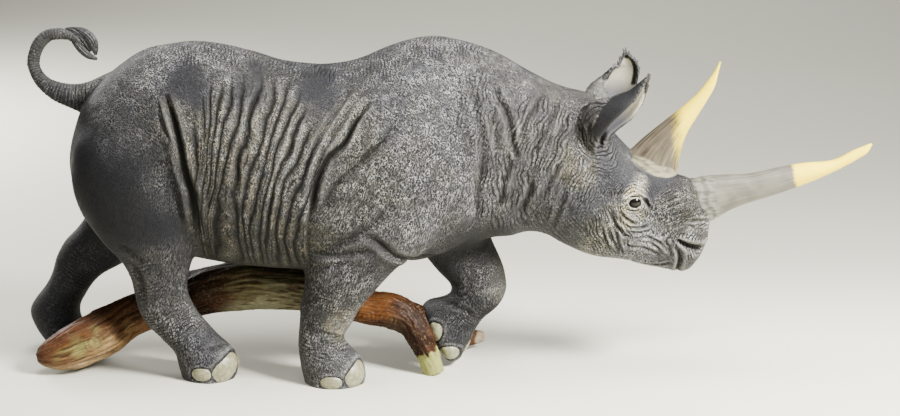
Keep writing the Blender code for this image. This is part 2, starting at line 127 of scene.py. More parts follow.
LEFT_HIND_LEG = [
    (-232, 180, -178, 195, 24, 20),
    (-246, 152, -176, 150, 29, 24),
    (-252, 131, -192, 124, 30, 24),
    (-258, 108, -208, 98, 30, 21),
    (-268, 93, -231, 70, 29, 18),
    (-277, 84, -247, 61, 28, 16.5),
    (-283, 73, -257, 52, 28, 15.5),
    (-286, 62, -263, 43, 27, 15),
    (-292, 51, -267, 35, 27, 15.5),
    (-299, 42, -267, 27, 27, 17),
    (-304, 33, -264, 20, 27, 19),
    (-301, 22, -259, 12, 27, 20),
    (-293, 10, -256, 3, 27, 19),
    (-285, -2, -257, -6, 27, 15),
]
LEFT_FORE_LEG = [
    (-20, 150, 40, 152, 22, 20),
    (-24, 111, 30, 122, 21, 20),
    (-14, 84, 37, 94, 19, 19),
    (-3, 71, 43, 80, 17, 18),
    (6, 62, 47, 68, 16, 17.5),
    (9, 57, 48, 56, 15, 17),
    (6, 52, 43, 45, 15, 16.5),
    (-2, 49, 32, 35, 15, 16.5),
    (-10, 47, 26, 26, 15, 17),
    (-14, 41, 23, 20, 15, 18.5),
    (-11, 30, 20, 14, 15, 19),
    (-5, 18, 17, 9, 15, 18),
    (1, 9, 15, 5, 15, 14),
    (4, 5, 13, 3, 15, 9),
]
TAIL = [
    (-236, 172, -212, 216, 0, 9),
    (-248, 184, -223, 221, 0, 8.5),
    (-253, 187, -237, 215, 0, 8),
    (-262, 191, -248, 210, 0, 7.2),
    (-271, 195, -258, 208, 0, 6.4),
    (-279, 200, -268, 209, 0, 5.6),
    (-285, 206, -274, 211, 0, 5),
    (-289, 214, -279, 215, 0, 4.5),
    (-291, 223, -282, 221, 0, 4.2),
    (-289, 232, -281, 228, 0, 4),
    (-285, 240, -278, 234, 0, 4),
    (-278, 246, -273, 239, 0, 3.8),
    (-269, 248, -267, 240, 0, 3.8),
    (-261, 247, -262, 240, 0, 3.2),
    (-254, 243, -257, 238, 0, 2.4),
    (-250, 239, -252, 236, 0, 1.4),
]
# Ears, each a leaf rolled about a middle line, and the way that its cup opens. Each row: x, y and
# z of the middle line, the roll's radius and its half angle in degrees
NEAR_EAR = [
    (110, -22, 168, 6.0, 145),
    (110.5, -25, 178, 8.0, 142),
    (113, -27, 186, 9.6, 138),
    (118.5, -28, 193, 11.3, 132),
    (129, -30, 201, 10.8, 122),
    (137.5, -31, 209, 7.4, 112),
    (142, -32, 217, 4.6, 102),
    (145.5, -32, 225, 0.9, 92),
]
NEAR_EAR_OPENS = (0.68, -0.57, -0.45)
FAR_EAR = [
    (119, 17, 178, 8.5, 95),
    (120.5, 20, 186, 10.5, 93),
    (122, 21, 193, 13.0, 90),
    (124.5, 22, 200, 14.6, 87),
    (128.2, 22.5, 207, 13.9, 84),
    (131.2, 23, 213, 12.6, 80),
    (133, 23.5, 219, 10.4, 76),
    (132, 24, 225, 6.0, 72),
    (130.5, 24, 230.5, 0.9, 68),
]
FAR_EAR_OPENS = (0.45, -0.88, 0.10)
EAR_THICKNESS = 2.6
# From what share of its length each ear's rims are black, and how dark its back is
NEAR_EAR_PAINT = (0.84, 1.0)
FAR_EAR_PAINT = (0.56, 0.15)
# Toenails. Each row: x, y and z of its middle on the foot, its bearing from straight ahead, how
# far it tilts, its half width and half height
TOENAILS = [
    (-147.2, -33.9, 9.4, -38, 30, 14.0, 8.8),
    (-167.5, -43.0, 6.4, -98, 0, 7.8, 5.4),
    (-144.6, -13.5, 8.5, 25, 0, 7.5, 7.5),
    (-55.7, -38.8, 8.4, -32, 32, 12.0, 8.2),
    (-73.5, -50.0, 4.6, -90, 0, 8.6, 5.0),
    (-53.5, -17.5, 8.5, 18, 0, 8.0, 7.5),
    (-3.0, -0.5, 28.5, -125, -12, 6.4, 7.8),
    (7.4, -1.5, 12.8, -92, 0, 8.0, 6.0),
    (22.0, 15.5, 13.0, 5, 0, 6.5, 6.0),
    (-263.5, 12.5, 10.0, -60, 0, 7.5, 7.5),
    (-255.0, 27.0, 10.0, 0, 0, 8.0, 7.5),
    (-263.5, 41.5, 10.0, 60, 0, 7.5, 7.5),
]


def unit(ways):
    """Each way with a length of one."""
    return ways / np.linalg.norm(ways, axis=1)[:, None]


def walked_to(line):
    """Distance walked along a line to each of its points."""
    return np.concatenate(([0.0], np.cumsum(np.linalg.norm(np.diff(line, axis=0), axis=1))))


def read_at(places, walk, values):
    """Each column of the values, which go with the walk, read at other places on it."""
    return np.stack([np.interp(places, walk, column) for column in values.T], axis=-1)


def between(rows, steps):
    """Rows in between the given ones: a cubic curve through them, by distance along the form."""
    rows = np.array(rows, float)
    strides = np.linalg.norm(np.diff(rows[:, :4], axis=0), axis=1)
    slope = np.gradient(rows, walked_to(rows[:, :4]), axis=0)
    share = np.linspace(0, 1, steps, endpoint=False)[None, :, None]
    stride = strides[:, None, None]
    start, end = rows[:-1, None], rows[1:, None]
    leave, arrive = slope[:-1, None] * stride, slope[1:, None] * stride
    curve = (start * (1 + 2 * share) * (1 - share) ** 2 + leave * share * (1 - share) ** 2
             + end * share ** 2 * (3 - 2 * share) + arrive * share ** 2 * (share - 1))
    return np.concatenate((curve.reshape(-1, rows.shape[1]), rows[-1:]))


def skin_over(rings):
    """Points and faces of a closed tube over rings of equal count, with a flat cap at each end."""
    count, sides = rings.shape[:2]
    index = np.arange(count * sides).reshape(count, sides)
    ahead = np.roll(index, -1, axis=1)
    quads = np.stack((index[:-1], ahead[:-1], ahead[1:], index[1:]), axis=-1).reshape(-1, 4)
    faces = quads.tolist() + [index[0][::-1].tolist(), index[-1].tolist()]
    return rings.reshape(-1, 3), faces


def section_rings(rows, steps, sides):
    """Oval rings from side view rows: each runs from the row's first point to its second and back,
    out to the half width, as cosine and sine of the turn."""
    rows = between(rows, steps)
    first, second = rows[:, None, 0:2], rows[:, None, 2:4]
    sideways, half_width = rows[:, None, 4], rows[:, None, 5]
    widest = rows[:, None, 6] if rows.shape[1] > 6 else 0.5
    turn = np.linspace(0, 2 * np.pi, sides, endpoint=False)[None, :]
    lift = -np.cos(turn)
    height = widest + np.where(lift > 0, 1 - widest, widest) * lift
    along = first + (second - first) * height[..., None]
    side = sideways + half_width * np.sin(turn)
    return np.stack((along[..., 0], side, along[..., 1]), axis=-1)


def ear_leaf(rows, opening, steps=7):
    """The rolled leaf from foot to tip: its middle line, the ways across it and into its cup, its
    radius and its half angle."""
    rows = between(rows, steps)
    middle, radius, angle = rows[:, :3], rows[:, 3], np.radians(rows[:, 4])
    ahead = unit(np.gradient(middle, axis=0))
    facing = unit(np.array(opening) - ahead * (ahead @ np.array(opening))[:, None])
    return middle, np.cross(ahead, facing), facing, radius, angle


def ear_rings(rows, opening, sweep, inset):
    """At each step along the leaf an arc about the middle line, rolled by its half angle to both
    sides, with sweep from -1 at one rim to 1 at the other."""
    middle, across, facing, radius, angle = ear_leaf(rows, opening)
    turn = sweep[None, :] * angle[:, None]
    arc = np.maximum(radius - inset, 0.3 * radius)[:, None]
    out, back = (arc * np.sin(turn))[..., None], (-arc * np.cos(turn))[..., None]
    return middle[:, None] + out * across[:, None] + back * facing[:, None]


def ear_shell(rows, opening):
    """A closed shell of the leaf: its outer face one way round and its inner face the other."""
    sweep = np.linspace(-1, 1, EAR_SIDES)
    outer = ear_rings(rows, opening, sweep, 0.0)
    inner = ear_rings(rows, opening, sweep, EAR_THICKNESS)
    return skin_over(np.concatenate((outer, inner[:, ::-1]), axis=1))


def nail_frame(row):
    """The middle of a toenail, the way it faces, and its half width and half height as vectors."""
    x, y, z, bearing, tilt, half_width, half_height = row
    bearing, tilt = np.radians(bearing), np.radians(tilt)
    outward = np.array((np.cos(bearing), np.sin(bearing), 0.0))
    level = np.array((-np.sin(bearing), np.cos(bearing), 0.0))
    upward = np.array((0.0, 0.0, 1.0))
    width = (level * np.cos(tilt) + upward * np.sin(tilt)) * half_width
    height = (upward * np.cos(tilt) - level * np.sin(tilt)) * half_height
    return np.array((x, y, z)), outward, width, height


def new_piece(name, shells):
    """One object from closed shells of points, in millimetres, and faces."""
    points, faces, start = [], [], 0
    for shell_points, shell_faces in shells:
        points.append(shell_points)
        faces.extend([[index + start for index in face] for face in shell_faces])
        start += len(shell_points)
    mesh = bpy.data.meshes.new(name)
    mesh.from_pydata((np.concatenate(points) * MM).tolist(), [], faces)
    piece = bpy.data.objects.new(name, mesh)
    bpy.context.scene.collection.objects.link(piece)
    mesh.shade_smooth()
    return piece


def settle(piece):
    """Put the result of the piece's modifiers into its mesh."""
    graph = bpy.context.evaluated_depsgraph_get()
    mesh = bpy.data.meshes.new_from_object(piece.evaluated_get(graph))
    piece.modifiers.clear()
    piece.data = mesh


def fuse(piece, grain):
    """Melt the shells of a piece into one skin of even squares, as coarse as the grain."""
    melt = piece.modifiers.new("melt", "REMESH")
    melt.mode = "VOXEL"
    melt.voxel_size = grain * MM
    settle(piece)


def surface(mesh):
    """The mesh's points in millimetres, its edges and its outward directions, as arrays."""
    points = np.empty(len(mesh.vertices) * 3)
    mesh.vertices.foreach_get("co", points)
    edges = np.empty(len(mesh.edges) * 2, np.int64)
    mesh.edges.foreach_get("vertices", edges)
    outward = np.empty(len(mesh.vertices) * 3)
    mesh.vertex_normals.foreach_get("vector", outward)
    return points.reshape(-1, 3) / MM, edges.reshape(-1, 2), outward.reshape(-1, 3)


def reshape(mesh, points):
    """Give the mesh new places for its points."""
    mesh.vertices.foreach_set("co", (points * MM).astype(np.float32).ravel())
    mesh.update()


def soften(piece, passes, rate=0.5, hollows_only=False):
    """Move each point towards the middle of its neighbours, and with hollows_only only along the
    outward direction and only out of hollows, as clay laid into a corner."""
    mesh = piece.data
    points, edges, outward = surface(mesh)
    first, second = edges[:, 0], edges[:, 1]
    near = np.bincount(edges.ravel(), minlength=len(points))[:, None]
    for _ in range(passes):
        total = np.empty_like(points)
        for axis in range(3):
            total[:, axis] = (np.bincount(first, points[second, axis], len(points))
                              + np.bincount(second, points[first, axis], len(points)))
        shift = total / near - points
        if hollows_only:
            lift = np.maximum(np.einsum("ij,ij->i", shift, outward), 0.0)
            shift = outward * lift[:, None]
        points = points + shift * rate
        if hollows_only:
            reshape(mesh, points)
            outward = surface(mesh)[2]
    reshape(mesh, points)


def join_meshes(piece, other):
    """Add another piece's shells to this one, still apart."""
    together = bmesh.new()
    together.from_mesh(piece.data)
    together.from_mesh(other.data)
    together.to_mesh(piece.data)
    together.free()
    bpy.data.objects.remove(other)


def cut_at_ground(piece):
    """Cut off what lies under the ground and close the cut flat."""
    shape = bmesh.new()
    shape.from_mesh(piece.data)
    everything = shape.verts[:] + shape.edges[:] + shape.faces[:]
    cut = bmesh.ops.bisect_plane(shape, geom=everything, dist=1e-7, plane_co=(0, 0, 0),
                                 plane_no=(0, 0, -1), clear_outer=True)
    rim = [item for item in cut["geom_cut"] if isinstance(item, bmesh.types.BMEdge)]
    bmesh.ops.holes_fill(shape, edges=rim, sides=0)
    shape.to_mesh(piece.data)
    shape.free()


def bump_at(points, middle, reach):
    """A bell of height one at the middle that falls off with the reach along each axis."""
    offset = (points - np.array(middle, float)) / np.array(reach, float)
    return np.exp(-np.einsum("ij,ij->i", offset, offset))


def smooth_step(value, low, high):
    """Zero below low, one above high, with an S between."""
    share = np.clip((value - low) / (high - low), 0, 1)
    return share * share * (3 - 2 * share)


def wander(points, reach):
    """Smooth unevenness between about -1 and 1: sines of unlike wavelengths and ways, added."""
    x, y, z = points.T / reach
    return (np.sin(1.7 * x + 2.3 * z + 1.1 * y) + np.sin(2.9 * x - 1.3 * z + 1.9 * y + 0.7)
            + np.sin(3.1 * z - 1.1 * x + 2.0 * y + 2.0)) / 3


LINE_STEPS = 5


def line_gap(places, line, reach):
    """Distance from a smooth line to each place within reach of it, and the share of the line's
    length at which it is nearest. Places are as the line's points are: x and z, or x, y and z."""
    line = np.array(line, float)
    padded = np.zeros((len(line), 4))
    padded[:, :line.shape[1]] = line
    line = between(padded, LINE_STEPS)[:, :line.shape[1]]
    near = np.all((places > line.min(0) - reach) & (places < line.max(0) + reach), axis=1)
    spot = places[near]
    best = np.full(len(spot), 1e9)
    share = np.zeros(len(spot))
    for index, (start, end) in enumerate(zip(line[:-1], line[1:])):
        way = end - start
        along = np.clip((spot - start) @ way / (way @ way), 0, 1)
        gap = np.linalg.norm(spot - start - along[:, None] * way, axis=1)
        closer = gap < best
        best[closer] = gap[closer]
        share[closer] = (index + along[closer]) / (len(line) - 1)
    return near, best, share


def crease(points, line, depth, widths, roll=0.5):
    """Height of a crease at each point: a groove along the line with a roll of hide on both sides,
    shallow at its ends, its half width running from the first of the widths to the last. A line of
    x and z runs on both flanks, one of x, y and z is doubled."""
    line = np.array(line, float)
    height = np.zeros(len(points))
    places = points[:, 0::2]
    if line.shape[1] == 3:
        places = np.stack((points[:, 0], -np.abs(points[:, 1]), points[:, 2]), axis=1)
    widths = np.atleast_1d(widths)
    near, gap, share = line_gap(places, line, 5 * widths.max())
    half_width = widths[0] + (widths[-1] - widths[0]) * share
    fade = np.clip(np.minimum(share, 1 - share) / 0.2, 0, 1) ** 0.6
    groove = -np.exp(-(gap / half_width) ** 2)
    rolls = roll * np.exp(-((gap - 2.2 * half_width) / (1.2 * half_width)) ** 2)
    height[near] = depth * fade * (groove + rolls)
    return height


# Mounds and hollows of the form, on both sides. Each row: middle, reach and height
MOUNDS = [
    ((-205, 0, 150), (34, 200, 42), 2.0),
    ((-28, -58, 190), (26, 30, 34), 2.5),
    ((112, -34, 128), (15, 18, 18), 3.0),
    ((134, -26, 145), (13, 14, 6), 2.6),
    ((182, 0, 106), (8, 30, 9), 2.2),
    ((158, -22, 118), (12, 14, 10), -2.0),
    ((60, 0, 120), (12, 60, 18), -2.0),
    ((177, 0, 80), (6, 12, 6), 2.2),
    ((179, -12, 92), (5, 9, 5), 1.2),
    ((104, -18, 200), (13, 17, 12), 5.5),
    ((108, 18, 197), (12, 15, 12), 3.5),
]
# The middle of the near eye, which the far one mirrors
EYE_MIDDLE = (138.0, -23.5, 133.8)
# The fan of ribs on the flank: the lines between them, as x and z down the side, from the groove
# before the haunch to the groove behind the shoulder
RIB_LINES = [
    [(-187, 211), (-180, 197), (-175, 180), (-171, 161), (-167, 146), (-165, 128), (-165, 110)],
    [(-168, 209), (-166, 189), (-162, 178), (-161, 164), (-164, 147), (-164, 130)],
    [(-160, 203), (-158, 194), (-157, 180), (-158, 165), (-162, 151), (-164, 133)],
    [(-153, 213), (-154, 192), (-156, 172), (-157, 159), (-159, 139), (-160, 128)],
    [(-147, 206), (-149, 193), (-152, 178), (-153, 165), (-155, 151), (-158, 130)],
    [(-141, 204), (-143, 195), (-145, 184), (-148, 167), (-151, 150), (-156, 136), (-158, 125)],
    [(-134, 209), (-136, 190), (-139, 177), (-143, 162), (-145, 152), (-150, 140), (-154, 118)],
    [(-120, 216), (-124, 207), (-128, 196), (-131, 180), (-134, 171), (-134, 156), (-136, 120)],
    [(-110, 205), (-115, 194), (-117, 184), (-122, 174), (-125, 166), (-129, 150), (-131, 130)],
    [(-102, 208), (-107, 196), (-110, 185), (-113, 176), (-117, 165), (-122, 144), (-127, 118)],
    [(-95, 204), (-102, 189), (-106, 178), (-108, 171), (-111, 159), (-115, 148), (-120, 128)],
    [(-89, 204), (-94, 193), (-97, 183), (-99, 173), (-103, 165), (-109, 152), (-118, 111)],
    [(-81, 200), (-87, 187), (-91, 176), (-94, 168), (-100, 157), (-106, 133), (-110, 115)],
    [(-72, 201), (-77, 190), (-83, 177), (-88, 165), (-92, 154), (-100, 126), (-103, 112)],
    [(-64, 200), (-69, 188), (-75, 174), (-81, 160), (-85, 148), (-92, 128), (-96, 110)],
    [(-43, 208), (-54, 194), (-62, 180), (-73, 170), (-80, 155), (-83, 140), (-86, 121)],
]
# Creases of the flank and shoulder, then of the neck. Each row: x and z points, depth, half width
# or half widths at the two ends
FLANK_CREASES = [
    (RIB_LINES[0], 4.0, (1.8, 3.0)),
    ([(-191, 206), (-188, 192), (-182, 183), (-176, 165), (-172, 148)], 1.0, 1.5),
    ([(-180, 155), (-177, 140), (-175, 123)], 0.8, 1.8),
    (RIB_LINES[7], 1.2, 1.6),
    (RIB_LINES[11], 1.3, 1.6),
    (RIB_LINES[15], 3.6, (1.3, 3.2)),
    ([(-50, 214), (-60, 200), (-70, 184), (-78, 170), (-84, 156)], 1.4, 1.4),
    ([(-55, 218), (-66, 203), (-76, 188), (-84, 172), (-90, 158)], 1.2, 1.3),
    ([(-26, 200), (-33, 185), (-42, 176), (-51, 167), (-60, 160), (-68, 151), (-75, 139),
      (-82, 120)], 1.9, (2.4, 3.6)),
    ([(-36, 152), (-45, 144), (-52, 136), (-62, 124)], 0.8, 2.4),
    ([(-48, 118), (-37, 110), (-27, 101), (-12, 93), (7, 91), (24, 106)], 2.0, 2.4),
    ([(-89, 102), (-72, 101), (-54, 104), (-40, 104)], 1.5, 2.2),
    ([(-86, 88), (-72, 93), (-58, 97)], 0.9, 1.8),
    ([(-27, 149), (-30, 138), (-35, 132), (-44, 123), (-56, 115), (-70, 107), (-83, 103)],
     1.4, (1.8, 3.0)),
    ([(-218, 108), (-210, 102), (-201, 94)], 1.2, 2.2),
    ([(-210, 93), (-206, 78), (-207, 62)], 1.8, (2.0, 2.6)),
    ([(-176, 118), (-173, 108), (-172, 98)], 0.8, 2.4),
]
NECK_CREASES = [
    ([(21, 228), (26, 210), (30, 194), (33, 178), (32, 161), (30, 144), (28, 125), (23, 115)],
     1.5, (2.2, 2.8)),
    ([(38, 196), (40, 187), (42, 176), (40, 166)], 1.0, 1.8),
    ([(39, 219), (42, 209), (47, 202), (51, 191), (53, 180), (56, 169), (55, 160)], 2.0, 2.0),
    ([(49, 172), (51, 165), (47, 150), (45, 137), (38, 127)], 1.7, 2.0),
    ([(76, 211), (70, 202), (62, 191), (60, 182), (59, 173)], 1.6, 2.0),
    ([(87, 208), (82, 199), (78, 190), (72, 181), (69, 174), (67, 167)], 1.5, 1.8),
    ([(96, 198), (88, 188), (83, 174), (80, 164), (75, 154)], 1.4, 1.8),
    ([(87, 166), (82, 157), (78, 148), (73, 135)], 1.5, 1.8),
    ([(66, 154), (66, 145), (62, 135), (59, 126)], 1.8, 2.0),
    ([(92, 150), (88, 138), (84, 124), (80, 112)], 1.2, 1.8),
]
# Creases of the ankles and the head. Each row: x, y and z points, depth, half width
HEAD_CREASES = [
    ([(-163, -39, 23), (-157, -35, 25), (-151, -26, 24)], 0.9, 1.6),
    ([(-79, -48, 43), (-72, -46, 39), (-66, -37, 35)], 1.0, 1.6),
    ([(0, -11, 49), (11, -1.5, 48), (21, -1, 44), (28, -5, 36)], 1.0, 1.6),
    ([(113, -35, 130), (115, -33, 121), (117, -29, 112), (119, -25, 104), (122, -21, 99)], 1.3, 1.2),
    ([(117, -34, 129), (118, -32, 121), (121, -29, 112), (125, -24, 103), (128, -17, 94)], 1.1, 1.1),
    ([(121, -32, 131), (123, -31, 125), (125, -30, 119), (128, -28, 115), (131, -27, 111),
      (136, -25, 109)], 1.5, 1.2),
    ([(123, -30, 118), (126, -28, 112), (127, -25, 106), (129, -21, 99), (132, -18, 94)], 1.2, 1.1),
    ([(127, -30, 131), (129, -30, 127), (132, -28, 123), (136, -27, 120), (141, -26, 118)],
     1.3, 1.1),
    ([(127, -30, 125), (130, -29, 120), (134, -28, 117), (138, -26, 116), (144, -25, 116),
      (150, -23, 117)], 1.0, 1.0),
    ([(130, -28, 115), (134, -27, 113), (141, -25, 112), (148, -24, 113), (154, -22, 115)],
     0.9, 1.0),
    ([(132, -24, 104), (135, -23, 101), (141, -23, 100), (147, -22, 99), (152, -21, 97),
      (159, -15, 92)], 1.4, 1.2),
    ([(146, -24, 109), (151, -23, 107), (156, -22, 104), (161, -20, 99), (164, -20, 95)], 1.0, 1.0),
    ([(150, -23, 104), (155, -21, 100), (160, -15, 93)], 1.0, 1.0),
    ([(159, -22, 105), (162, -21, 102), (164, -20, 97), (166, -18, 94)], 1.3, 1.1),
    ([(175, -20, 114), (168, -21, 112), (165, -21, 110), (162, -22, 107), (160, -21, 104)],
     0.9, 1.0),
    ([(175, -20, 110), (170, -21, 110), (166, -21, 108), (165, -21, 105), (165, -20, 101)],
     0.8, 0.9),
    ([(168, -21, 106), (173, -20, 103), (177, -17, 101), (182, -15, 99), (187, -11, 96)],
     3.4, (0.9, 3.2)),
    ([(176, -20, 119), (183, -17, 119), (189, -13, 118), (191, -8, 117)], 1.3, 1.0),
    ([(173, -21, 116), (179, -19, 116), (186, -16, 116), (191, -9, 113)], 0.7, 0.9),
    ([(171, -21, 112), (176, -20, 115), (183, -18, 113), (190, -11, 110)], 0.7, 0.9),
    ([(152, -22, 130), (159, -20, 132), (165, -18, 135), (171, -15, 137)], 0.7, 0.9),
    ([(153, -23, 127), (160, -21, 129), (167, -19, 131), (176, -16, 134)], 0.7, 0.9),
    ([(155, -22, 122), (162, -21, 123), (170, -20, 125), (176, -18, 126)], 0.7, 0.9),
    ([(153, -22, 115), (160, -21, 118), (167, -21, 121), (173, -20, 123)], 0.8, 0.9),
    ([(147, -24, 111), (154, -22, 113), (161, -21, 115), (169, -21, 118)], 0.7, 0.9),
    ([(154, -23, 108), (161, -22, 111), (166, -21, 115), (172, -21, 117)], 0.8, 0.9),
    ([(127, -30, 134), (131, -29, 135.5), (134, -28, 137), (139, -26, 138.3), (143, -25, 137.5),
      (146, -24, 134.5), (148, -24, 131), (150, -23, 128)], 2.4, 1.0),
    ([(140, -18, 152), (148, -17, 148), (151, -18, 143), (152, -20, 139)], 0.5, 1.6),
    ([(137, -11, 87), (144, -10, 86), (151, -11, 85), (158, -13, 85), (165, -14, 87)], 2.0, 1.2),
    ([(169, -19, 99), (171, -17, 93), (171, -14, 88), (170, -9, 83), (169, 0, 80)], 2.6, 1.5),
    ([(183, -2, 146), (184, -9, 140), (188, -13, 131), (192, -8, 119), (192, 0, 115)], 1.5, 1.2),
    ([(181, -2, 148), (181, -10, 141), (184, -14, 131), (189, -11, 118)], 0.7, 1.0),
    ([(133, -5, 166), (136, -9, 162), (140, -11, 158), (148, -12, 154), (155, -12, 151),
      (161, -9, 150), (166, 0, 150)], 1.8, 1.4),
]


def rib_phase(points):
    """How many rib lines lie behind each point, counted smoothly, and how wide the rib there is:
    each line's x is read at the point's height, and the gaps between lines are filled evenly."""
    x, z = points[:, 0], points[:, 2]
    lines = []
    for line in RIB_LINES:
        line = np.array(sorted(line, key=lambda place: place[1]), float)
        lines.append(np.interp(z, line[:, 1], line[:, 0]))
    phase = np.zeros(len(points))
    width = np.zeros(len(points))
    for behind, ahead in zip(lines[:-1], lines[1:]):
        ahead = np.maximum(ahead, behind + 1.5)
        share = np.clip((x - behind) / (ahead - behind), 0, 1)
        phase += share
        width += (ahead - behind) * ((share > 0) & (share < 1))
    last = len(RIB_LINES) - 1
    free = smooth_step(phase, 0.3, 1.3) * (1 - smooth_step(phase, last - 1.3, last - 0.3))
    sway = (0.16 * np.sin(z / 13 + 1.3 * phase) + 0.07 * np.sin(z / 4.6 + 2.1 * phase)
            + 0.03 * np.sin(z / 1.7 + x / 2.6))
    return phase + free * sway, width


def rib_window(points):
    """Where the ribs show: from the haunch groove to the shoulder groove, off the back and belly."""
    x, z = points[:, 0], points[:, 2]
    ahead = 1 - smooth_step(x + 0.55 * (z - 160), -76, -62)
    behind = smooth_step(x - 0.3 * (z - 160), -176, -168)
    return ahead * behind * smooth_step(z, 80, 100) * (1 - smooth_step(z, 206, 226))


# Fine wrinkles. Each row: kind, middle, reach, spacing, strength and the way across the wrinkles.
# Rings run round their middle, and bands lie square to their way
WRINKLES = [
    ("rings", (119, -30, 188), (27, 28, 31), 2.5, 1.0, None),
    ("rings", (138, -28, 134), (19, 20, 16), 2.0, 0.8, None),
    ("rings", (190, -14, 99), (26, 20, 19), 2.2, 0.9, None),
    ("bands", (166, -20, 130), (17, 16, 13), 2.1, 0.7, (-0.42, 0, 0.91)),
    ("bands", (120, -30, 110), (17, 24, 24), 2.4, 0.9, (0.93, 0, 0.36)),
    ("bands", (96, -34, 150), (13, 24, 22), 2.6, 0.7, (0.90, 0, -0.43)),
    ("bands", (-190, -24, 40), (24, 24, 17), 2.4, 0.7, (-0.45, 0, 0.9)),
    ("bands", (-205, -34, 84), (18, 24, 22), 2.6, 0.6, (-0.30, 0, 0.95)),
    ("bands", (-82, -30, 30), (24, 24, 14), 2.4, 0.6, (0.1, 0, 1.0)),
    ("bands", (-74, -36, 62), (26, 24, 18), 2.6, 0.5, (0.2, 0, 1.0)),
    ("bands", (-38, -36, 92), (30, 24, 14), 2.8, 0.6, (0.3, 0, 0.95)),
    ("bands", (30, 15, 42), (22, 22, 15), 2.2, 0.9, (0.75, 0, 0.66)),
    ("bands", (-262, 28, 66), (24, 22, 22), 2.6, 0.7, (0.45, 0, 0.9)),
    ("bands", (76, -36, 184), (27, 24, 28), 2.8, 0.9, (0.93, 0, -0.36)),
    ("bands", (50, -40, 140), (22, 24, 34), 3.0, 0.8, (1.0, 0, 0.06)),
    ("bands", (30, -40, 205), (16, 24, 30), 3.0, 0.6, (0.97, 0, -0.20)),
    ("bands", (84, -28, 112), (22, 24, 20), 2.8, 0.5, (0.80, 0, 0.60)),
    ("bands", (-160, -20, 236), (60, 40, 9), 2.6, 0.6, (1.0, 0, 0.1)),
    ("bands", (-70, -20, 228), (50, 40, 9), 2.6, 0.6, (1.0, 0, 0.1)),
    ("bands", (10, -20, 242), (46, 40, 9), 2.6, 0.6, (1.0, 0, 0.0)),
]
TAIL_WRINKLE = 2.2
# Smooth places in between. Each row: its middle and its reach in x, y and z
SMOOTH_PLACES = [
    ((135, -24, 168), (12, 30, 18)),
    ((152, -20, 151), (12, 25, 8)),
    ((178, -14, 132), (9, 20, 7)),
]


def fine_wrinkles(points):
    """Phase and strength of the wrinkle field: at each point the strongest of the rows, swayed and
    broken, and on the tail rings at even steps along it. One whole phase is one wrinkle."""
    beside = np.stack((points[:, 0], -np.abs(points[:, 1]), points[:, 2]), axis=1)
    best = 0.16 * np.ones(len(points))
    strength = np.zeros(len(points))
    phase = np.zeros(len(points))
    for number, (kind, middle, reach, spacing, height, way) in enumerate(WRINKLES):
        places = beside if middle[1] < 0 else points
        offset = places - np.array(middle, float)
        share = bump_at(places, middle, reach)
        if kind == "rings":
            count = np.linalg.norm(offset, axis=1) / spacing
        else:
            count = offset @ np.array(way, float) / spacing
        won = share > best
        best[won] = share[won]
        phase[won] = count[won] + 40 * number
        strength[won] = height * smooth_step(share[won], 0.16, 0.5)
    phase += 0.7 * wander(points, 9.0) + 0.25 * wander(points, 3.4)
    strength *= 0.3 + 0.7 * smooth_step(wander(points, 8.0), -0.5, 0.3)
    for middle, reach in SMOOTH_PLACES:
        strength *= 1 - 0.85 * smooth_step(bump_at(beside, middle, reach), 0.2, 0.7)
    middle_line = np.array([((r[0] + r[2]) / 2, (r[1] + r[3]) / 2) for r in TAIL])
    steps = np.linalg.norm(np.diff(middle_line, axis=0), axis=1).sum()
    on_tail = (points[:, 0] < -236) & (points[:, 2] > 186) & (np.abs(points[:, 1]) < 11)
    near, gap, share = line_gap(points[:, 0::2], middle_line, 14)
    index = np.flatnonzero(near)
    keep = on_tail[index]
    phase[index[keep]] = share[keep] * steps / TAIL_WRINKLE + 0.2 * wander(points, 3.0)[index[keep]]
    strength[index[keep]] = 0.7 * smooth_step(-points[index[keep], 0], 240, 252)
    return phase, strength


def nail_share(points):
    """Distance from the nearest toenail's middle, as a share of the way to its edge."""
    best = np.full(len(points), 9.0)
    for row in TOENAILS:
        middle, outward, width, height = nail_frame(row)
        offset = points - middle
        share = np.hypot(offset @ width / (width @ width), offset @ height / (height @ height))
        share[np.abs(offset @ outward) > 9] = 9.0
        best = np.minimum(best, share)
    return best


def ear_paint(points):
    """How far each point lies on the inside of an ear, on its outside, on the dark upper rim and in
    the cream upper part: the two faces lie on either side of the middle of the leaf's thickness."""
    inside, outside, rim, cream = (np.zeros(len(points)) for _ in range(4))
    for rows, opening, (black, back_dark) in ((NEAR_EAR, NEAR_EAR_OPENS, NEAR_EAR_PAINT),
                                              (FAR_EAR, FAR_EAR_OPENS, FAR_EAR_PAINT)):
        middle, across, facing, radius, angle = ear_leaf(rows, opening)
        way = middle[-1] - middle[0]
        shares = (middle - middle[0]) @ way / (way @ way)
        share = (points - middle[0]) @ way / (way @ way)
        offset = points - read_at(share, shares, middle)
        out = np.einsum("ij,ij->i", offset, read_at(share, shares, across))
        back = -np.einsum("ij,ij->i", offset, read_at(share, shares, facing))
        turn = np.abs(np.arctan2(out, back)) / np.interp(share, shares, angle)
        depth = np.hypot(out, back) - np.interp(share, shares, radius) + 0.55 * EAR_THICKNESS
        here = (share > 0.06) & (share < 1.06) & (np.abs(depth) < 3.0) & (turn < 1.2)
        fade = here * smooth_step(share, 0.14, 0.26)
        inner = 1 - smooth_step(depth, -0.3, 0.3)
        inside = np.maximum(inside, fade * inner)
        outside = np.maximum(outside, back_dark * fade * (1 - inner))
        edge = smooth_step(turn, 0.66, 0.74) * smooth_step(share, black, black + 0.05)
        rim = np.maximum(rim, here * np.maximum(edge, smooth_step(share, 0.90, 0.93)))
        cream = np.maximum(cream, here * smooth_step(share, 0.40, 0.72))
    return inside, outside, rim, cream


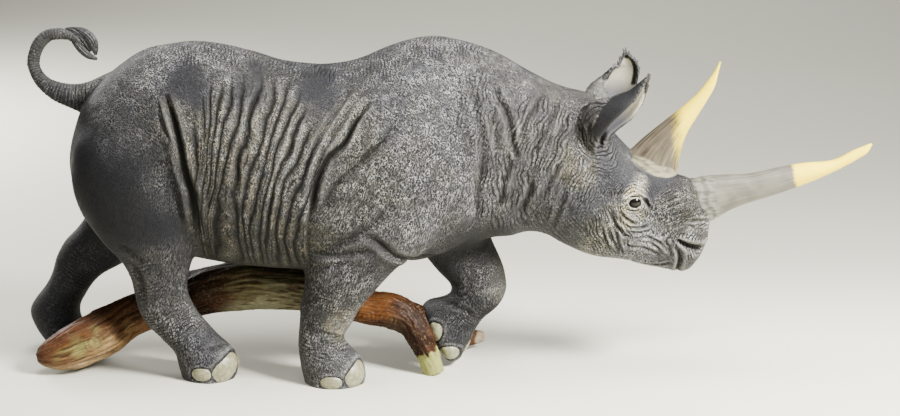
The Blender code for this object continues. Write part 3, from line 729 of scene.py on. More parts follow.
RIB_HEIGHT = 1.15
RIB_UNEVENNESS = 0.35
WRINKLE_HEIGHT = 0.30
# Unevenness of the form. Each row: its height and how far its waves reach
SWELLS = [(0.5, 34.0), (0.22, 13.0)]
CUTICLE_HEIGHT = 0.5
CUTICLE_GROOVE = 0.4
SOCKET_DEPTH = 1.6
SOCKET_RADIUS = 4.0


def sculpt(piece):
    """Work mounds, ribs, creases and wrinkles into the skin, along its outward direction. Ribs are
    bows of the sine of their phase, wrinkles cosines of theirs, and each nail has a cuticle."""
    points, _, outward = surface(piece.data)
    height = np.zeros(len(points))
    for middle, reach, rise in MOUNDS:
        height += rise * bump_at(points, middle, reach)
        if middle[1]:
            height += rise * bump_at(points, (middle[0], -middle[1], middle[2]), reach)
    phase, width = rib_phase(points)
    rounded = np.abs(np.sin(np.pi * phase)) ** 0.7 - 0.6
    uneven = RIB_HEIGHT + RIB_UNEVENNESS * wander(points, 22.0)
    height += rib_window(points) * np.clip(width / 6, 0, 1) * uneven * rounded
    on_side = smooth_step(np.abs(points[:, 1]), 8, 18)
    for line, depth, half_width in FLANK_CREASES + NECK_CREASES:
        height += on_side * crease(points, line, depth, half_width)
    for line, depth, half_width in HEAD_CREASES:
        height += crease(points, line, depth, half_width)
    phase, strength = fine_wrinkles(points)
    inside, outside = ear_paint(points)[:2]
    off_ears = 1 - np.maximum(inside, outside)
    height -= WRINKLE_HEIGHT * strength * off_ears * np.cos(2 * np.pi * phase)
    for rise, reach in SWELLS:
        height += rise * wander(points, reach)
    from_nail = nail_share(points)
    height += CUTICLE_HEIGHT * np.exp(-((from_nail - 1.25) / 0.16) ** 2)
    height -= CUTICLE_GROOVE * np.exp(-((from_nail - 1.0) / 0.10) ** 2)
    beside = np.stack((points[:, 0], -np.abs(points[:, 1]), points[:, 2]), axis=1)
    from_eye = np.linalg.norm(beside - np.array(EYE_MIDDLE), axis=1)
    height -= SOCKET_DEPTH * np.exp(-((from_eye - SOCKET_RADIUS) / 3.0) ** 2)
    reshape(piece.data, points + outward * height[:, None])


def thin_out(piece, facets, keep_fine):
    """Bring the skin down to a number of triangles, and leave it finest where keep_fine is true."""
    guard = piece.vertex_groups.new(name="plain")
    guard.add(np.flatnonzero(~keep_fine).tolist(), 1.0, "REPLACE")
    fewer = piece.modifiers.new("fewer facets", "DECIMATE")
    fewer.ratio = facets / (2 * len(piece.data.polygons))
    fewer.vertex_group = guard.name
    fewer.vertex_group_factor = 0.001
    fewer.use_collapse_triangulate = True
    settle(piece)
    piece.vertex_groups.clear()


def give_attribute(piece, name, values):
    """A value for each of the mesh's points, for a material to read by name."""
    layer = piece.data.attributes.new(name, "FLOAT", "POINT")
    layer.data.foreach_set("value", values.astype(np.float32))


# Broad areas of paint and painted shade: their lightness is partly the paint's own and partly painted
# shade, as on the dark haunch. Each row: x and z of its middle, how far it reaches, its lightness, how
# yellow it is and how strongly the brush strokes show
PAINT_AND_SHADE = [
    # The dark haunch of this row is partly its paint and partly painted shade on the side the light
    # misses
    (-228, 150, 40, 0.18, 0.02, 0.30),
    (-185, 150, 12, 0.55, 0.10, 0.90),
    (-214, 186, 16, 0.62, 0.15, 0.70),
    (-232, 214, 20, 1.00, 0.10, 0.70),
    (-196, 234, 12, 1.10, 0.10, 1.00),
    (-150, 234, 14, 1.05, 0.12, 1.00),
    (-100, 226, 10, 0.80, 0.10, 1.00),
    (-60, 228, 10, 0.80, 0.10, 1.00),
    (-168, 216, 9, 0.55, 0.00, 0.10),
    (-128, 213, 9, 0.60, 0.00, 0.10),
    (-84, 212, 9, 0.52, 0.00, 0.10),
    (-178, 190, 10, 0.80, 0.35, 0.80),
    (-150, 170, 18, 0.92, 0.55, 0.55),
    (-118, 185, 22, 1.00, 0.45, 0.55),
    (-95, 190, 14, 1.12, 0.30, 0.50),
    (-150, 130, 14, 0.68, 0.50, 0.45),
    (-120, 105, 24, 0.66, 0.60, 0.50),
    (-78, 150, 14, 0.85, 0.20, 0.85),
    (-50, 185, 16, 0.90, 0.30, 1.00),
    (-45, 140, 14, 0.85, 0.20, 1.00),
    (-20, 205, 20, 1.00, 0.05, 0.80),
    (-5, 170, 24, 0.98, 0.12, 1.00),
    (8, 238, 18, 1.06, 0.10, 0.90),
    (-8, 112, 18, 1.00, 0.12, 0.90),
    (-40, 104, 14, 0.60, 0.15, 0.50),
    (18, 140, 14, 1.15, 0.10, 0.70),
    (48, 170, 18, 1.02, 0.16, 0.50),
    (42, 215, 14, 1.00, 0.14, 0.60),
    (76, 192, 16, 0.95, 0.18, 0.45),
    (80, 140, 16, 0.88, 0.05, 0.40),
    (101, 122, 11, 0.90, 0.00, 0.30),
    (96, 158, 9, 1.30, 0.55, 0.30),
    (114, 114, 10, 1.45, 0.45, 0.60),
    (130, 163, 13, 0.88, 0.00, 0.10),
    (121, 150, 5, 0.55, 0.00, 0.60),
    (153, 149, 10, 0.56, 0.00, 0.12),
    (139, 142, 4.5, 3.60, 1.00, 0.90),
    (135, 123, 5, 2.00, 0.90, 0.60),
    (140, 108, 12, 1.45, 0.05, 0.70),
    (165, 126, 12, 0.76, 0.25, 1.00),
    (178, 126, 7, 0.78, 0.50, 0.90),
    (184, 108, 10, 1.42, 0.20, 0.60),
    (168, 92, 8, 1.10, 0.10, 0.40),
    (-200, 75, 20, 0.66, 0.12, 0.70),
    (-190, 45, 14, 0.90, 0.15, 0.90),
    (-168, 20, 16, 0.70, 0.02, 0.60),
    (-60, 78, 16, 0.78, 0.12, 1.00),
    (-88, 60, 12, 0.60, 0.15, 1.00),
    (-66, 45, 9, 1.70, 0.70, 0.30),
    (-86, 36, 9, 0.85, 0.00, 1.00),
    (-70, 15, 14, 0.88, 0.00, 0.60),
    (-275, 60, 26, 0.44, 0.02, 0.45),
    (10, 95, 18, 0.35, 0.10, 0.30),
    (30, 72, 10, 0.60, 0.15, 0.90),
    (42, 66, 7, 0.90, 0.30, 0.60),
    (18, 42, 11, 0.40, 0.05, 1.00),
    (-3, 34, 11, 0.52, 0.00, 0.50),
    (-270, 222, 26, 0.66, 0.05, 0.60),
]


def hollows(points, edges, outward):
    """How far each point lies in a hollow, from the way its neighbours stand over it, spread over
    a few rings of neighbours."""
    first, second = edges[:, 0], edges[:, 1]
    near = np.bincount(edges.ravel(), minlength=len(points))
    step = points[second] - points[first]
    reach = np.linalg.norm(step, axis=1) + 1e-9
    rise = (np.bincount(first, np.einsum("ij,ij->i", step, outward[first]) / reach, len(points))
            + np.bincount(second, -np.einsum("ij,ij->i", step, outward[second]) / reach,
                          len(points))) / near
    for _ in range(3):
        rise = 0.5 * rise + 0.5 * (np.bincount(first, rise[second], len(points))
                                   + np.bincount(second, rise[first], len(points))) / near
    return rise


# The grey that a lightness of one stands for, how much darker the ears' backs are, and the light
# ring round each nail
GREY = 0.051
EAR_BACK_DARKER = 0.88
CUTICLE_LIGHT = 0.03
# From what depth a crease takes the full dark wash, on the body and on the head
BODY_WASH_DEPTH = 3
HEAD_WASH_DEPTH = 1.5


def paint(piece):
    """Lay the broad areas of paint and painted shade, the wash in the creases and the wrinkle field into
    attributes of the mesh. Areas melt into each other by bells of their reach."""
    points, edges, outward = surface(piece.data)
    tone, yellow, strokes, weight = (np.zeros(len(points)) for _ in range(4))
    place = points + 3.0 * np.stack([wander(points + shift, 12.0) for shift in (0, 50, 90)], axis=1)
    # Broad lightness of paint and painted shade
    for x, z, reach, light, warm, brushed in PAINT_AND_SHADE:
        share = np.exp(-((place[:, 0] - x) ** 2 + (place[:, 2] - z) ** 2) / reach ** 2) / reach
        share += 1e-12
        tone += share * light
        yellow += share * warm
        strokes += share * brushed
        weight += share
    inside, outside, rim, cream = ear_paint(points)
    inside = inside * (1 - rim)
    outside = np.maximum(outside, rim)
    from_nail = nail_share(points)
    cuticle = np.exp(-((from_nail - 1.25) / 0.12) ** 2)
    tone = GREY * (tone / weight) ** 1.6 * (1 - EAR_BACK_DARKER * outside) + CUTICLE_LIGHT * cuticle
    give_attribute(piece, "tone", tone)
    give_attribute(piece, "yellow", yellow / weight)
    give_attribute(piece, "strokes", strokes / weight * (1 - outside) * (1 - inside))
    give_attribute(piece, "ear_inside", inside)
    give_attribute(piece, "ear_cream", cream)
    phase, width = rib_phase(points)
    rib = rib_window(points) * smooth_step(width, 1.6, 4.0)
    fine_phase, fine = fine_wrinkles(points)
    on_rib = rib > fine
    give_attribute(piece, "wrinkle_phase", np.where(on_rib, phase, fine_phase))
    give_attribute(piece, "wrinkle", np.where(on_rib, rib, fine) * (1 - outside) * (1 - inside))
    wash = np.zeros(len(points))
    on_side = smooth_step(np.abs(points[:, 1]), 8, 18)
    for line, depth, widths in FLANK_CREASES + NECK_CREASES:
        share = min(depth, BODY_WASH_DEPTH) / BODY_WASH_DEPTH
        wash = np.maximum(wash, -on_side * crease(points, line, share, widths, 0))
    for line, depth, widths in HEAD_CREASES:
        share = min(depth, HEAD_WASH_DEPTH) / HEAD_WASH_DEPTH
        wash = np.maximum(wash, -crease(points, line, share, widths, 0))
    cuticle_line = 0.8 * np.exp(-((from_nail - 1.01) / 0.05) ** 2) * smooth_step(points[:, 2], 4, 9)
    wash = np.maximum(wash, cuticle_line)
    wash = np.maximum(wash, rim)
    give_attribute(piece, "wash", wash)
    give_attribute(piece, "hollow", hollows(points, edges, outward))


def new_finish(name):
    """A material with its principled shader."""
    finish = bpy.data.materials.new(name)
    finish.use_nodes = True
    return finish, finish.node_tree.nodes["Principled BSDF"]


def add_node(finish, kind, inputs, **settings):
    """A node of the finish with its settings, its inputs linked to sockets or given values."""
    made = finish.node_tree.nodes.new("ShaderNode" + kind)
    for name, value in settings.items():
        setattr(made, name, value)
    for key, value in inputs.items():
        if isinstance(value, bpy.types.NodeSocket):
            finish.node_tree.links.new(value, made.inputs[key])
        else:
            made.inputs[key].default_value = value
    return made


def calc(finish, operation, first, second=0.0, third=0.0):
    """The result of a sum on two or three values."""
    inputs = {0: first, 1: second, 2: third}
    return add_node(finish, "Math", inputs, operation=operation).outputs[0]


def ramp(finish, value, low, high, start=0.0, end=1.0):
    """The value's place between low and high, eased, brought to start and end."""
    inputs = {"Value": value, "From Min": low, "From Max": high, "To Min": start, "To Max": end}
    return add_node(finish, "MapRange", inputs, interpolation_type="SMOOTHSTEP").outputs[0]


def blend(finish, share, first, second, way="MIX"):
    """The first colour with a share of the second laid over it."""
    inputs = {0: share, 6: first, 7: second}
    return add_node(finish, "Mix", inputs, data_type="RGBA", blend_type=way).outputs[2]


def read(finish, name):
    """The value of the mesh's attribute of that name."""
    return add_node(finish, "Attribute", {}, attribute_name=name).outputs["Fac"]


def place_in(finish, stretch=(1, 1, 1)):
    """Object coordinates in millimetres, stretched along each axis."""
    place = add_node(finish, "TexCoord", {}).outputs["Object"]
    scale = tuple(share / MM for share in stretch)
    return add_node(finish, "VectorMath", {0: place, 1: scale}, operation="MULTIPLY").outputs[0]


def noise(finish, place, size, detail=2.0):
    """Cloudy noise whose clouds are about the size across."""
    inputs = {"Vector": place, "Scale": 1 / size, "Detail": detail}
    return add_node(finish, "TexNoise", inputs).outputs[0]


def brush_strokes(finish, lean, sideways, width, length):
    """Noise drawn out into strokes that lean from upright, forward and to the side, in radians."""
    place = place_in(finish)
    turned = {"Vector": place, "Rotation": (sideways, lean, 0.0), "Scale": (width, width, length)}
    drawn = add_node(finish, "Mapping", turned, vector_type="TEXTURE").outputs[0]
    return noise(finish, drawn, 1.0, 1.0)


def raise_up(finish, height, distance, below=None):
    """A bump of the height over another bump."""
    inputs = {"Height": height, "Distance": distance * MM}
    if below is not None:
        inputs["Normal"] = below
    return add_node(finish, "Bump", inputs).outputs[0]


# Brush strokes of the dry brush: lean and sideways lean in radians, width and length. The grain is
# how far they lighten and darken the grey under them
FIRST_STROKES = (0.35, 0.2, 0.60, 3.2)
SECOND_STROKES = (-0.85, -0.3, 0.60, 2.6)
GRAIN = 2.8
PAINT_DARK = (0.005, 0.005, 0.006, 1)
PAINT_PALE = (0.60, 0.59, 0.54, 1)
PAINT_VIOLET = (0.84, 0.85, 1.0, 1)
PAINT_KHAKI = (1.0, 0.84, 0.50, 1)
PAINT_WASH = (0.005, 0.005, 0.004, 1)
EAR_CREAM = (0.42, 0.39, 0.31, 1)
EAR_LILAC = (0.085, 0.083, 0.090, 1)


def hide_finish():
    """Grey as light as the broad areas say, crossed by a dry brush's pale strokes and dark ones that
    multiply and divide it, tinted violet and khaki in patches, with a dark wash in creases, rib
    lines, wrinkles and hollows."""
    finish, shader = new_finish("painted hide")
    place = place_in(finish)
    tone, strokes = read(finish, "tone"), read(finish, "strokes")
    cloud = noise(finish, place, 14.0, 3.0)
    first = brush_strokes(finish, *FIRST_STROKES)
    second = brush_strokes(finish, *SECOND_STROKES)
    pale = calc(finish, "MAXIMUM", ramp(finish, first, 0.52, 0.64), ramp(finish, second, 0.54, 0.66))
    dark = calc(finish, "MAXIMUM", ramp(finish, first, 0.46, 0.34), ramp(finish, second, 0.44, 0.32))
    mask = ramp(finish, noise(finish, place, 7.0, 2.0), 0.32, 0.62, 0.55, 1.0)
    mask = calc(finish, "MULTIPLY", mask, calc(finish, "MULTIPLY_ADD", strokes, 0.65, 0.35))
    grain = calc(finish, "MULTIPLY", calc(finish, "SUBTRACT", pale, dark), mask)
    phase = calc(finish, "MULTIPLY_ADD", noise(finish, place, 2.6, 2.0), 0.22,
                 read(finish, "wrinkle_phase"))
    phase = calc(finish, "SUBTRACT", phase, 0.11)
    rib = calc(finish, "MULTIPLY", calc(finish, "PINGPONG", phase, 0.5), 2.0)
    strength = read(finish, "wrinkle")
    rib_line = calc(finish, "MULTIPLY", ramp(finish, rib, 0.08, 0.34, 1.0, 0.0), strength)
    extra = calc(finish, "MULTIPLY", calc(finish, "PINGPONG", phase, 0.25), 4.0)
    extra = calc(finish, "MULTIPLY", ramp(finish, extra, 0.08, 0.45, 1.0, 0.0), strength)
    tall = noise(finish, place_in(finish, (0.14, 0.14, 0.035)), 1.0, 2.0)
    extra = calc(finish, "MULTIPLY", extra, ramp(finish, tall, 0.46, 0.56))
    rib_line = calc(finish, "MAXIMUM", rib_line, extra)
    swell = calc(finish, "MULTIPLY", ramp(finish, rib, 0.0, 1.0, -1.1, 0.75), strength)
    light = calc(finish, "MULTIPLY_ADD", calc(finish, "SUBTRACT", cloud, 0.5), 1.6, swell)
    light = calc(finish, "MULTIPLY_ADD", grain, GRAIN, light)
    light = calc(finish, "MULTIPLY", tone, calc(finish, "POWER", 2.4, light))
    colour = blend(finish, light, PAINT_DARK, PAINT_PALE)
    cool = ramp(finish, read(finish, "yellow"), 0.02, 0.30, 1.0, 0.25)
    violet = ramp(finish, noise(finish, place, 26.0, 2.0), 0.40, 0.62, 0.45, 1.0)
    violet = calc(finish, "MULTIPLY", violet, cool)
    colour = blend(finish, violet, colour, PAINT_VIOLET, "MULTIPLY")
    patchy = ramp(finish, noise(finish, place, 8.0, 3.0), 0.30, 0.62)
    khaki = calc(finish, "MULTIPLY", read(finish, "yellow"), patchy)
    colour = blend(finish, khaki, colour, PAINT_KHAKI, "MULTIPLY")
    wash = calc(finish, "MULTIPLY", rib_line, 0.88)
    wash = calc(finish, "MAXIMUM", wash, ramp(finish, read(finish, "wash"), 0.12, 0.8, 0.0, 0.95))
    hollow = ramp(finish, read(finish, "hollow"), 0.02, 0.20, 0.0, 0.85)
    wash = calc(finish, "MAXIMUM", wash, hollow)
    colour = blend(finish, wash, colour, PAINT_WASH)
    edge = ramp(finish, read(finish, "hollow"), -0.02, -0.14, 0.0, 2.6)
    colour = blend(finish, calc(finish, "MULTIPLY", edge, tone), colour, PAINT_PALE)
    lining = blend(finish, read(finish, "ear_cream"), EAR_LILAC, EAR_CREAM)
    colour = blend(finish, read(finish, "ear_inside"), colour, lining)
    finish.node_tree.links.new(colour, shader.inputs["Base Color"])
    rough = ramp(finish, cloud, 0.3, 0.7, 0.55, 0.70)
    finish.node_tree.links.new(rough, shader.inputs["Roughness"])
    shader.inputs["Specular IOR Level"].default_value = 0.14
    low = raise_up(finish, calc(finish, "MULTIPLY", rib_line, -1.0), 0.6)
    normal = raise_up(finish, grain, 0.22, low)
    finish.node_tree.links.new(normal, shader.inputs["Normal"])
    return finish


forms = (BARREL, RIGHT_HIND_LEG, RIGHT_FORE_LEG, LEFT_HIND_LEG, LEFT_FORE_LEG)
hide = new_piece("hide", [skin_over(section_rings(rows, RING_STEPS, RING_SIDES)) for rows in forms])
fuse(hide, BODY_GRAIN)
soften(hide, CORNER_PASSES, 0.6, hollows_only=True)
soften(hide, BODY_PASSES)
trimmings = [skin_over(section_rings(TAIL, RING_STEPS, TAIL_SIDES))]
trimmings += [ear_shell(NEAR_EAR, NEAR_EAR_OPENS), ear_shell(FAR_EAR, FAR_EAR_OPENS)]
join_meshes(hide, new_piece("trimmings", trimmings))
fuse(hide, SKIN_GRAIN)
soften(hide, SKIN_PASSES)
sculpt(hide)
thin_out(hide, HIDE_FACETS, surface(hide.data)[0][:, 0] > FINE_FROM)
cut_at_ground(hide)
paint(hide)
hide.data.shade_smooth()
hide.data.materials.append(hide_finish())
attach(hide, "root")
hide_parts("rhinoceros")

# The horns
# Two horns of paler bisque, grey brown at the root and ivory at the point, set on the nose. The
# front one's ivory point begins at a hard edge of paint.
FRONT_HORN = [
    (176, 108, 160, 136, 0, 12),
    (190, 114, 176, 143, 0, 13),
    (201, 120, 194, 147, 0, 12.5),
    (216, 127, 219, 149, 0, 11),
    (237, 134, 241, 154, 0, 9.4),
    (255, 141, 256, 157, 0, 7.8),
    (277, 151, 278, 160, 0, 5),
    (293, 160, 291, 167, 0, 3.2),
    (301, 166, 299, 170.5, 0, 1.9),
    (303.5, 171, 302.5, 172, 0, 0.6),
]
REAR_HORN = [
    (156, 122, 126, 140, 0, 12),
    (165, 136, 129, 154, 0, 13),
    (167.5, 150, 134.5, 164, 0, 12.5),
    (170, 163, 145, 175, 0, 10.8),
    (174, 177, 158, 186, 0, 8.4),
    (180.5, 189, 170, 196, 0, 6.2),
    (187.5, 201, 180.3, 206, 0, 4.4),
    (193, 212, 188, 216, 0, 2.8),
    (195, 221, 192.5, 223, 0, 1.6),
    (196.5, 228.5, 195.5, 229, 0, 0.5),
]
HORN_STEPS = 14
HORN_SIDES = 64
# Each collar's share of its horn's length. The ivory begins at a distance along a way, in
# millimetres, with an edge that is hard or soft, and the root is streaked more or less
FRONT_COLLAR = 0.215
FRONT_WAY = (1.0, 0.0, 0.25)
FRONT_IVORY_FROM = 287
FRONT_IVORY_EDGE = 1.6
FRONT_STREAKS = 0.3
REAR_COLLAR = 0.235
# The rear horn's way runs mostly by x, so its back stays brown further up: partly its paint and partly
# painted shade on the side away from the light
REAR_WAY = (1.0, 0.0, 0.12)
REAR_IVORY_FROM = 190
REAR_IVORY_EDGE = 6.0
REAR_STREAKS = 0.7
IVORY = (0.94, 0.71, 0.015, 1)
FRONT_HORN_GREY = (0.102, 0.095, 0.077, 1)
FRONT_COLLAR_GREY = (0.155, 0.150, 0.125, 1)
REAR_HORN_BROWN = (0.068, 0.056, 0.038, 1)
REAR_COLLAR_CREAM = (0.27, 0.25, 0.165, 1)
HORN_STREAK_PALE = (0.30, 0.26, 0.17, 1)
HORN_STREAK_DARK = (0.030, 0.024, 0.018, 1)
# The dark line across each collar is painted shadow under its fold
HORN_FOLD_SHADOW = (0.030, 0.027, 0.024, 1)
GROWTH_RINGS = 22
GROWTH_HEIGHT = 0.022
COLLAR_HEIGHT = 0.05
HORN_RIBS = 16
HORN_RIB_HEIGHT = 0.012


def horn_shell(rows, collar):
    """A horn's rings, swollen by fine lengthwise ribs and by rings of growth that fade out above
    the collar's share of the length. Returns the shell, and each point's share and turn."""
    rings = section_rings(rows, HORN_STEPS, HORN_SIDES)
    middle = rings.mean(axis=1, keepdims=True)
    share = np.linspace(0, 1, len(rings))[:, None]
    turn = np.linspace(0, 2 * np.pi, HORN_SIDES, endpoint=False)[None, :]
    wrinkled = 2 * np.pi * share * GROWTH_RINGS + 1.2 * np.sin(3 * turn) + 0.7 * np.sin(7 * turn)
    growth = GROWTH_HEIGHT * np.cos(wrinkled) * smooth_step(share, collar + 0.02, collar - 0.04)
    uneven = share + 0.01 * np.sin(5 * turn)
    growth = growth + COLLAR_HEIGHT * smooth_step(uneven, collar + 0.03, collar - 0.01)
    ribs = HORN_RIB_HEIGHT * np.cos(HORN_RIBS * turn + 3 * np.sin(9 * share)) * (1 - share)
    grown = 1 + growth + ribs
    rings = middle + (rings - middle) * grown[..., None]
    shares = np.repeat(share, HORN_SIDES, axis=1)
    turns = np.repeat(turn, len(rings), axis=0) / (2 * np.pi)
    return skin_over(rings), shares.ravel(), turns.ravel()


def horn_finish(name, collar, collar_colour, root, way, start, edge, streaked):
    """The collar's colour below its share of the length, crossed by a painted shadow line under its fold,
    then the root's colour and ivory by the distance along the way in millimetres from the start, with an
    edge as soft as given, streaked lengthwise."""
    finish, shader = new_finish(name)
    along, around = read(finish, "along"), read(finish, "around")
    swirl = calc(finish, "SINE", calc(finish, "MULTIPLY", around, 2 * np.pi))
    turned = calc(finish, "COSINE", calc(finish, "MULTIPLY", around, 2 * np.pi))
    inputs = {0: calc(finish, "MULTIPLY", swirl, 7.0), 1: calc(finish, "MULTIPLY", turned, 7.0),
              2: calc(finish, "MULTIPLY", along, 5.0)}
    streak_place = add_node(finish, "CombineXYZ", inputs).outputs[0]
    streak = noise(finish, streak_place, 1.0, 4.0)
    place = place_in(finish)
    patch = noise(finish, place, 12.0, 3.0)
    reach = add_node(finish, "VectorMath", {0: place, 1: way}, operation="DOT_PRODUCT").outputs[1]
    frayed = calc(finish, "MULTIPLY_ADD", calc(finish, "SUBTRACT", streak, 0.5), edge * 2.5, reach)
    frayed = calc(finish, "MULTIPLY_ADD", calc(finish, "SUBTRACT", patch, 0.5), edge * 1.5, frayed)
    colour = blend(finish, ramp(finish, patch, 0.35, 0.65), root, tuple(1.35 * c for c in root))
    pale = ramp(finish, streak, 0.54, 0.72, 0.0, 0.6 * streaked)
    colour = blend(finish, pale, colour, HORN_STREAK_PALE)
    dark = ramp(finish, streak, 0.48, 0.32, 0.0, streaked)
    colour = blend(finish, dark, colour, HORN_STREAK_DARK)
    ivory = blend(finish, ramp(finish, streak, 0.35, 0.65), IVORY, tuple(0.90 * c for c in IVORY))
    colour = blend(finish, ramp(finish, frayed, start - edge, start + edge), colour, ivory)
    folded = ramp(finish, noise(finish, place_in(finish, (0.5, 0.3, 1.6)), 2.4, 3.0), 0.34, 0.56)
    bottom = blend(finish, folded, tuple(0.50 * c for c in collar_colour), collar_colour)
    top = calc(finish, "MULTIPLY_ADD", calc(finish, "SUBTRACT", patch, 0.5), 0.05, along)
    low = ramp(finish, top, collar + 0.012, collar - 0.012, 0.0, 0.9)
    colour = blend(finish, low, colour, bottom)
    # Painted shadow: a dark line across the collar where its fold shades the hide below
    past = calc(finish, "ABSOLUTE", calc(finish, "SUBTRACT", top, 0.55 * collar))
    fold_shadow = ramp(finish, past, 0.016, 0.004, 0.0, 0.75)
    colour = blend(finish, fold_shadow, colour, HORN_FOLD_SHADOW)
    finish.node_tree.links.new(colour, shader.inputs["Base Color"])
    shader.inputs["Roughness"].default_value = 0.36
    shader.inputs["Specular IOR Level"].default_value = 0.22
    finish.node_tree.links.new(raise_up(finish, streak, 0.2), shader.inputs["Normal"])
    return finish


def make_horn(name, rows, collar, finish):
    """One horn with its finish, on the head."""
    shell, along, around = horn_shell(rows, collar)
    horn = new_piece(name, [shell])
    give_attribute(horn, "along", along)
    give_attribute(horn, "around", around)
    horn.data.materials.append(finish)
    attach(horn, "root")


front_finish = horn_finish("front horn", FRONT_COLLAR, FRONT_COLLAR_GREY, FRONT_HORN_GREY, FRONT_WAY,
                           FRONT_IVORY_FROM, FRONT_IVORY_EDGE, FRONT_STREAKS)
rear_finish = horn_finish("rear horn", REAR_COLLAR, REAR_COLLAR_CREAM, REAR_HORN_BROWN, REAR_WAY,
                          REAR_IVORY_FROM, REAR_IVORY_EDGE, REAR_STREAKS)
make_horn("front_horn", FRONT_HORN, FRONT_COLLAR, front_finish)
make_horn("rear_horn", REAR_HORN, REAR_COLLAR, rear_finish)

# The toenails
# Cream nails round each foot, cast with it as low domes and painted, each with a dark line where
# the hide ends.
NAIL_RISE = 1.3
NAIL_EDGE_SINKS = 0.5
NAIL_ROOT = 2.0
NAIL_OVER_GROUND = 0.3
NAIL_SIDES = 48
NAIL_RINGS = 15
# How far outside the foot the rays that find its skin start
RAY_STARTS = 25
NAIL_GREY = (0.15, 0.142, 0.085, 1)
NAIL_CREAM = (0.26, 0.248, 0.145, 1)


def nail_shell(row, skin):
    """A dome over the foot: rays from outside find the skin under each point of an oval, which is
    then raised by the dome's height. The shell is closed by a copy of it sunk into the foot."""
    middle, outward, width, height = nail_frame(row)
    turn = np.linspace(0, 2 * np.pi, NAIL_SIDES, endpoint=False)
    across = np.sign(np.cos(turn)) * np.abs(np.cos(turn)) ** 0.85
    lift = np.sign(np.sin(turn)) * np.abs(np.sin(turn)) ** 0.85
    outer, inner = [], []
    for share in np.linspace(0.04, 1, NAIL_RINGS):
        ring = middle + share * (across[:, None] * width + lift[:, None] * height)
        found = []
        for place in ring:
            place[2] = max(place[2], NAIL_OVER_GROUND)
            spot = skin.ray_cast(Vector((place + RAY_STARTS * outward) * MM), Vector(-outward))[0]
            found.append(np.array(spot) / MM if spot else place)
        found = np.array(found)
        outer.append(found + outward * (NAIL_RISE * (1 - share ** 3) - NAIL_EDGE_SINKS * share ** 3))
        inner.append(found - outward * NAIL_ROOT)
    return skin_over(np.array(inner + outer[::-1]))


def nail_finish():
    """Cream paint, a little greyer and rougher in patches."""
    finish, shader = new_finish("toenail")
    place = place_in(finish)
    cloud = noise(finish, place, 3.0, 3.0)
    colour = blend(finish, ramp(finish, cloud, 0.35, 0.7), NAIL_GREY, NAIL_CREAM)
    finish.node_tree.links.new(colour, shader.inputs["Base Color"])
    shader.inputs["Roughness"].default_value = 0.42
    finish.node_tree.links.new(raise_up(finish, cloud, 0.15), shader.inputs["Normal"])
    return finish


skin = BVHTree.FromObject(hide, bpy.context.evaluated_depsgraph_get())
nails = new_piece("toenails", [nail_shell(row, skin) for row in TOENAILS])
nails.data.materials.append(nail_finish())
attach(nails, "root")

# The eyes
# A small dark glazed ball in each side of the head, and a cream lid laid round it as a thin roll.
# Both are part of the casting.
EYE_RADIUS = 4.7
EYE_RINGS = 22
EYE_SIDES = 40
LID_MIDDLE = (138.2, -27.2, 133.4)
LID_FACES = (0.28, -0.95, 0.14)
LID_HALF_LENGTH = 5.0
LID_HALF_HEIGHT = 3.9
LID_ROLL = 0.55
LID_STEPS = 48
LID_SIDES = 12
EYE_BLACK = (0.002, 0.002, 0.002, 1)
EYE_BROWN = (0.008, 0.006, 0.005, 1)
LID_GREY = (0.10, 0.095, 0.08, 1)
LID_CREAM = (0.32, 0.31, 0.28, 1)


def eye_shell(middle):
    """A ball: rings by sine and cosine of the lift from pole to pole."""
    lift = np.linspace(-np.pi / 2, np.pi / 2, EYE_RINGS + 2)[1:-1, None]
    turn = np.linspace(0, 2 * np.pi, EYE_SIDES, endpoint=False)[None, :]
    upward = np.repeat(np.sin(lift), EYE_SIDES, axis=1)
    points = np.stack((np.cos(lift) * np.cos(turn), np.cos(lift) * np.sin(turn), upward), axis=-1)
    return skin_over(middle + EYE_RADIUS * points)


def lid_shell(side):
    """A roll round the eye: circles of the roll's radius, thinner at the corners, carried round an
    oval in the plane that the lid faces."""
    outward = Vector(LID_FACES).normalized()
    across = Vector((0, 0, 1)).cross(outward).normalized()
    rise = np.array(outward.cross(across))
    across, outward = np.array(across), np.array(outward)
    turn = np.linspace(0, 2 * np.pi, LID_STEPS, endpoint=False)
    spin = np.linspace(0, 2 * np.pi, LID_SIDES, endpoint=False)
    out = across * np.cos(turn)[:, None] * LID_HALF_LENGTH
    out = out + rise * np.sin(turn)[:, None] * LID_HALF_HEIGHT
    away = unit(out)
    thick = LID_ROLL * (0.7 + 0.3 * np.sin(turn) ** 2)[:, None, None]
    circle = away[:, None] * np.cos(spin)[None, :, None] + outward * np.sin(spin)[None, :, None]
    rings = np.array(LID_MIDDLE) + out[:, None] + thick * circle
    rings[..., 1] *= side
    index = np.arange(rings.shape[0] * rings.shape[1]).reshape(rings.shape[:2])
    ahead, beside = np.roll(index, -1, axis=0), np.roll(index, -1, axis=1)
    faces = np.stack((index, ahead, np.roll(ahead, -1, axis=1), beside), axis=-1).reshape(-1, 4)
    return rings.reshape(-1, 3), faces[:, ::int(side)].tolist()


def eye_finish():
    """Dark glaze, clouded from black to brown."""
    finish, shader = new_finish("eye")
    colour = blend(finish, noise(finish, place_in(finish), 2.0), EYE_BLACK, EYE_BROWN)
    finish.node_tree.links.new(colour, shader.inputs["Base Color"])
    shader.inputs["Roughness"].default_value = 0.10
    shader.inputs["Specular IOR Level"].default_value = 0.25
    return finish


